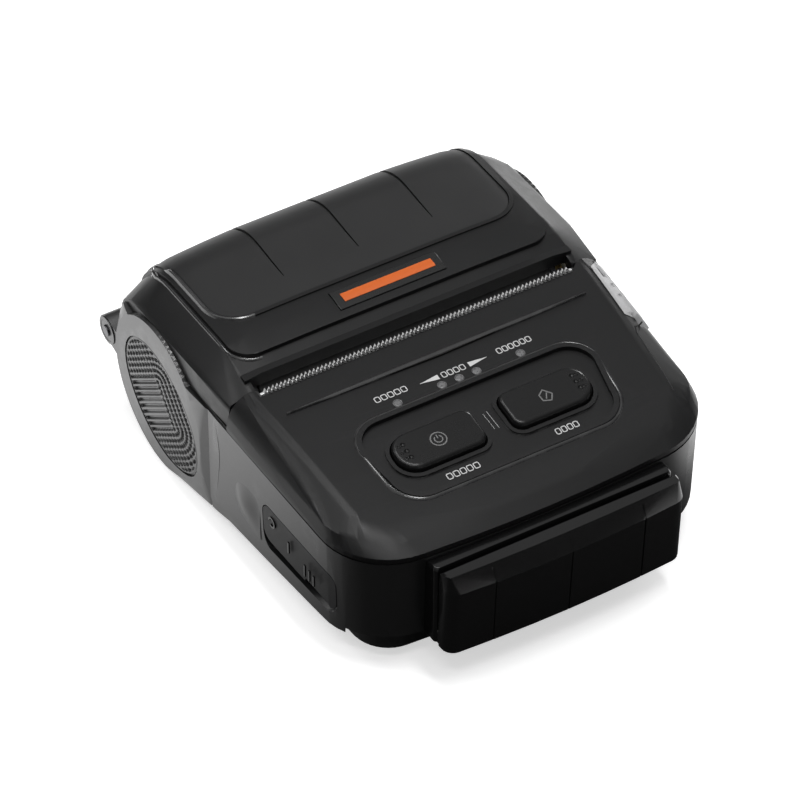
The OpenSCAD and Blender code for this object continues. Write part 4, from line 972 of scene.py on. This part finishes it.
def makeLegends():
    relief = Relief(coverSkin)
    start, end = legend["share"]
    for x0, x1, y, count in legend["rows"]:
        pitch = (x1 - x0) / count
        for k in range(count):
            outline = roundedPath(x0 + pitch * (k + start), x0 + pitch * (k + end), y - legend["half"],
                                  y + legend["half"], legend["corner"], 3)
            relief.strip(outline, legend["line"], closed=True, **ink)
    for side in (-1, 1):
        wedge = [(side * x, y) for x, y in legend["wedge"]]
        relief.strip(wedge, legend["wedgeWidth"], ink["lift"], ends="wedge", sink=ink["sink"])
    relief.done("legendMarks", cover, "whiteInk", None)


# Marks and dimples on the keys

keyMark = {
    "line": 0.3, "lift": 0.06, "sink": 0.1, "step": 0.4,
    # path and whether it is closed
    "powerKey": [(arcPath(-14.6, -35.1, 1.95, 0, 337.5, 15), True),
                 (arcPath(-14.6, -35.1, 1.0, 125, 415, 12), False),
                 ([(-14.6, -34.9), (-14.6, -33.8)], False)],
    "feedKey": [([(13.0, -36.4), (14.9, -37.1), (16.0, -35.4), (14.4, -33.5), (12.9, -34.6)], True),
                ([(14.0, -36.2), (14.9, -34.6)], False)],
}

keyDimple = {"x": 24.2, "bow": 0.25, "y": -34.9, "pitch": 1.9, "radius": 0.42, "width": 0.22, "lift": 0.02,
             "crown": 0.1, "sink": 0.1, "step": 0.4}


def makeKeyMarks():
    for name, cap in keyCaps.items():
        relief = Relief(pieces[name])
        for path, closed in keyMark[name]:
            relief.strip(path, keyMark["line"], keyMark["lift"], closed=closed, sink=keyMark["sink"],
                         step=keyMark["step"])
        relief.done(name + "Mark", cap["body"], "greyInk", None)


def makeKeyDimples():
    for name, cap in keyCaps.items():
        relief = Relief(pieces[name])
        for k in (-1, 0, 1):
            x = cap["side"] * (keyDimple["x"] - keyDimple["bow"] * abs(k))
            ring = arcPath(x, keyDimple["y"] + k * keyDimple["pitch"], keyDimple["radius"], 0, 320, 8)
            relief.strip(ring, keyDimple["width"], keyDimple["lift"], closed=True, sink=keyDimple["sink"],
                         step=keyDimple["step"], crown=keyDimple["crown"])
        relief.done(name + "Dimples", cap["body"], "keyPlastic", "key_plastic")


# Rings round the lamps, and the ribbed strip in front of the teeth

lampRing = {"x": (-16.7, -4.7, 0, 4.7, 16.7), "y": -20, "radius": 1.0, "width": 0.34, "lift": 0.04,
            "crown": 0.1, "sink": 0.2, "step": 0.5}

exitRib = {"count": 75, "firstX": -40.7, "pitch": 1.1, "half": 0.3, "front": -3.1, "rear": -1.7, "foot": 45.9,
           "topY": -2, "lift": 0.16}


def makeLampRings():
    relief = Relief()
    for x in lampRing["x"]:
        ring = arcPath(x, lampRing["y"], lampRing["radius"], 0, 337.5, 15)
        relief.strip(ring, lampRing["width"], lampRing["lift"], closed=True, sink=lampRing["sink"],
                     step=lampRing["step"], height=coverTop, crown=lampRing["crown"])
    relief.done("lampRings", cover, "greyPlastic", "key_plastic")


def makeExitRibs():
    relief = Relief()
    top = coverTop(exitRib["topY"]) + exitRib["lift"]
    for k in range(exitRib["count"]):
        x = exitRib["firstX"] + exitRib["pitch"] * k
        relief.block(x - exitRib["half"], exitRib["front"], exitRib["foot"],
                     x + exitRib["half"], exitRib["rear"], top)
    relief.done("exitRibs", cover, "rimPlastic", "cover_plastic")


makeRidge()
makeRim()
makeKeyRings()
makeLegends()
makeKeyMarks()
makeLampRings()
makeKeyDimples()
makeExitRibs()
print("cover details made")


# Lips round the pad and the plate, and the bar on the badge

lidLips = [
    # name, half width, front, rear, corner radius, width and crown of the lip
    ("padLip", 41.8, 18.8, 54, 8.8, 1.3, 0.5),
    ("plateLine", 44.0, 7.4, 54, 6.6, 1.1, 0.45),
]
lipLift, lipSink, lipStep = -0.03, 0.4, 1.4

badgeBar = {"half": 12.4, "y": 13.2, "width": 2.6, "lift": 0.12, "crown": 0.12, "sink": 0.1, "step": 1.0}


def makeLidLips():
    for name, half, front, rear, radius, width, crown in lidLips:
        relief = Relief(lidSkin)
        openLoop = roundedPath(-half, half, front, rear, radius, 8)[9:27]     # the rear side stays open
        relief.strip(openLoop, width, lipLift, crown=crown, sink=lipSink, step=lipStep)
        relief.done(name, lid, "rimPlastic", "cover_plastic")


def makeBadgeBar():
    relief = Relief(pieces["badgePlate"])
    path = [(-badgeBar["half"], badgeBar["y"]), (badgeBar["half"], badgeBar["y"])]
    relief.strip(path, badgeBar["width"], badgeBar["lift"], sink=badgeBar["sink"], step=badgeBar["step"],
                 crown=badgeBar["crown"])
    relief.done("badgeBar", lid, "orangeInk", None)


makeLidLips()
makeBadgeBar()
print("lid details made")


# The lever's broad face, which follows the swelled bevel

leverFace = {
    "front": -22.3, "rear": -2.0, "foot": 46.55, "width": 4.9, "lift": 0.28, "thick": 0.7, "across": 8,
    "step": 0.35, "corner": 1.6, "outerCorner": 0.3, "cornerSteps": 5,
    "endLift": 0.35, "endSteps": 3, "sideLift": 0.5, "sideShare": 0.15,
    "brink": 50.9, "fall": 2.2,   # beyond the brink the face falls off steeply
    "notches": (-7.2, -10.8, -14.4), "notch": 0.5, "notchDepth": 0.75, "notchFrom": 0.42,
}


def makeLeverFace():
    relief = Relief(coverSkin, pieces["releaseLever"])
    rings = []
    count = round((leverFace["rear"] - leverFace["front"]) / leverFace["step"])
    for k in range(count + 1):
        y = leverFace["front"] + (leverFace["rear"] - leverFace["front"]) * k / count
        fromEnd = min(k, count - k)
        end = stepUp(fromEnd, 0, leverFace["endSteps"])
        corner = 1 - stepUp(fromEnd, 0, leverFace["cornerSteps"])
        foot = bevelStart(leverFace["foot"], y)
        low = foot + leverFace["corner"] * corner
        high = foot + leverFace["width"] - leverFace["corner"] * corner * leverFace["outerCorner"]
        notched = any(abs(y - place) < leverFace["notch"] for place in leverFace["notches"])
        top, bottom = [], []
        for n in range(leverFace["across"] + 1):
            share = n / leverFace["across"]
            x = low + (high - low) * share
            past = max(0.0, x - leverFace["brink"])
            z = relief.height(x - past, y) - past * leverFace["fall"]
            side = stepUp(min(share, 1 - share), 0, leverFace["sideShare"])
            lift = leverFace["lift"] * (leverFace["endLift"] + (1 - leverFace["endLift"]) * end)
            lift *= leverFace["sideLift"] + (1 - leverFace["sideLift"]) * side
            if notched and share > leverFace["notchFrom"]:
                lift -= leverFace["notchDepth"]
            top.append((x, y, z + lift))
            bottom.append((x, y, z - leverFace["thick"]))
        rings.append(top + bottom[::-1])
    relief.loft(rings)
    relief.done("leverFace", bodyOfNode["release_lever"], "leverPlastic", "lever_plastic")


# Marks on the port flap, the swell behind it, and the fine line on the right bevel

flapMark = {
    "face": 50.64, "lift": 0.12, "ringWidth": 0.5, "ringStep": 0.5, "barWidth": 0.6, "barStep": 0.8,
    "ring": arcPath(-19.8, 23.4, 1.3, 0, 300, 12),
    "bars": [[(-27.6, 20.2), (-27.6, 23.6)]]
            + [[(-35.2 - 2.1 * k, 19.2 + 0.2 * k), (-35.2 - 2.1 * k, 22.8)] for k in range(3)],
}

wallSwell = {"centre": (-7.6, 19.6), "half": (6.6, 7.2), "height": 1.15, "power": 1.5, "face": 50.7,
             "steps": 26}

bevelLine = {"path": [(47.6, -24.6), (45.4, -25.0), (44.6, -27), (43.6, -40), (43.0, -46)], "width": 0.35,
             "crown": 0.14, "sink": 0.3, "step": 1.0}


def onLeftWall(y, z, out):
    return -out, y, z


def flapFace(y):
    return flapMark["face"]


def makeFlapMarks():
    relief = Relief()
    relief.strip(flapMark["ring"], flapMark["ringWidth"], flapMark["lift"], height=flapFace,
                 step=flapMark["ringStep"])
    for bar in flapMark["bars"]:
        relief.strip(bar, flapMark["barWidth"], flapMark["lift"], height=flapFace, step=flapMark["barStep"])
    relief.done("flapMarks", bodyOfNode["port_flap"], "readerPlastic", "pad_rubber", onLeftWall)


def makeWallSwell():
    relief = Relief()
    (middleY, middleZ), (halfY, halfZ), steps = wallSwell["centre"], wallSwell["half"], wallSwell["steps"]
    rows = []
    for j in range(steps + 1):
        row = []
        for i in range(steps + 1):
            p, q = 2 * i / steps - 1, 2 * j / steps - 1
            hill = math.cos(math.pi * p / 2) * math.cos(math.pi * q / 2)
            out = wallSwell["face"] + hill ** wallSwell["power"] * wallSwell["height"]
            row.append(relief.mesh.verts.new(Vector((middleY + p * halfY, middleZ + q * halfZ, out)) * mm))
        rows.append(row)
    fillGrid(relief.mesh, rows)
    bmesh.ops.holes_fill(relief.mesh, edges=openEdges(relief.mesh))
    relief.done("wallSwell", caseBody, "casePlastic", "case_plastic", onLeftWall)


def makeBevelLine():
    relief = Relief(coverSkin)
    relief.strip(bevelLine["path"], bevelLine["width"], 0.0, crown=bevelLine["crown"], sink=bevelLine["sink"],
                 step=bevelLine["step"])
    relief.done("bevelLine", cover, "coverPlastic", "cover_plastic")


makeLeverFace()
makeFlapMarks()
makeWallSwell()
makeBevelLine()
print("side details made")


# Floor

def makeFloor(look):
    pickNothing()
    bpy.ops.mesh.primitive_plane_add(size=look["size"], location=(0, 0, 0))
    floor = bpy.context.object
    floor.name = "floor"
    floor.data.materials.append(floorPaper("floorPaper", look))


makeFloor(floorLook)
print("pieces in all:", len(pieces))
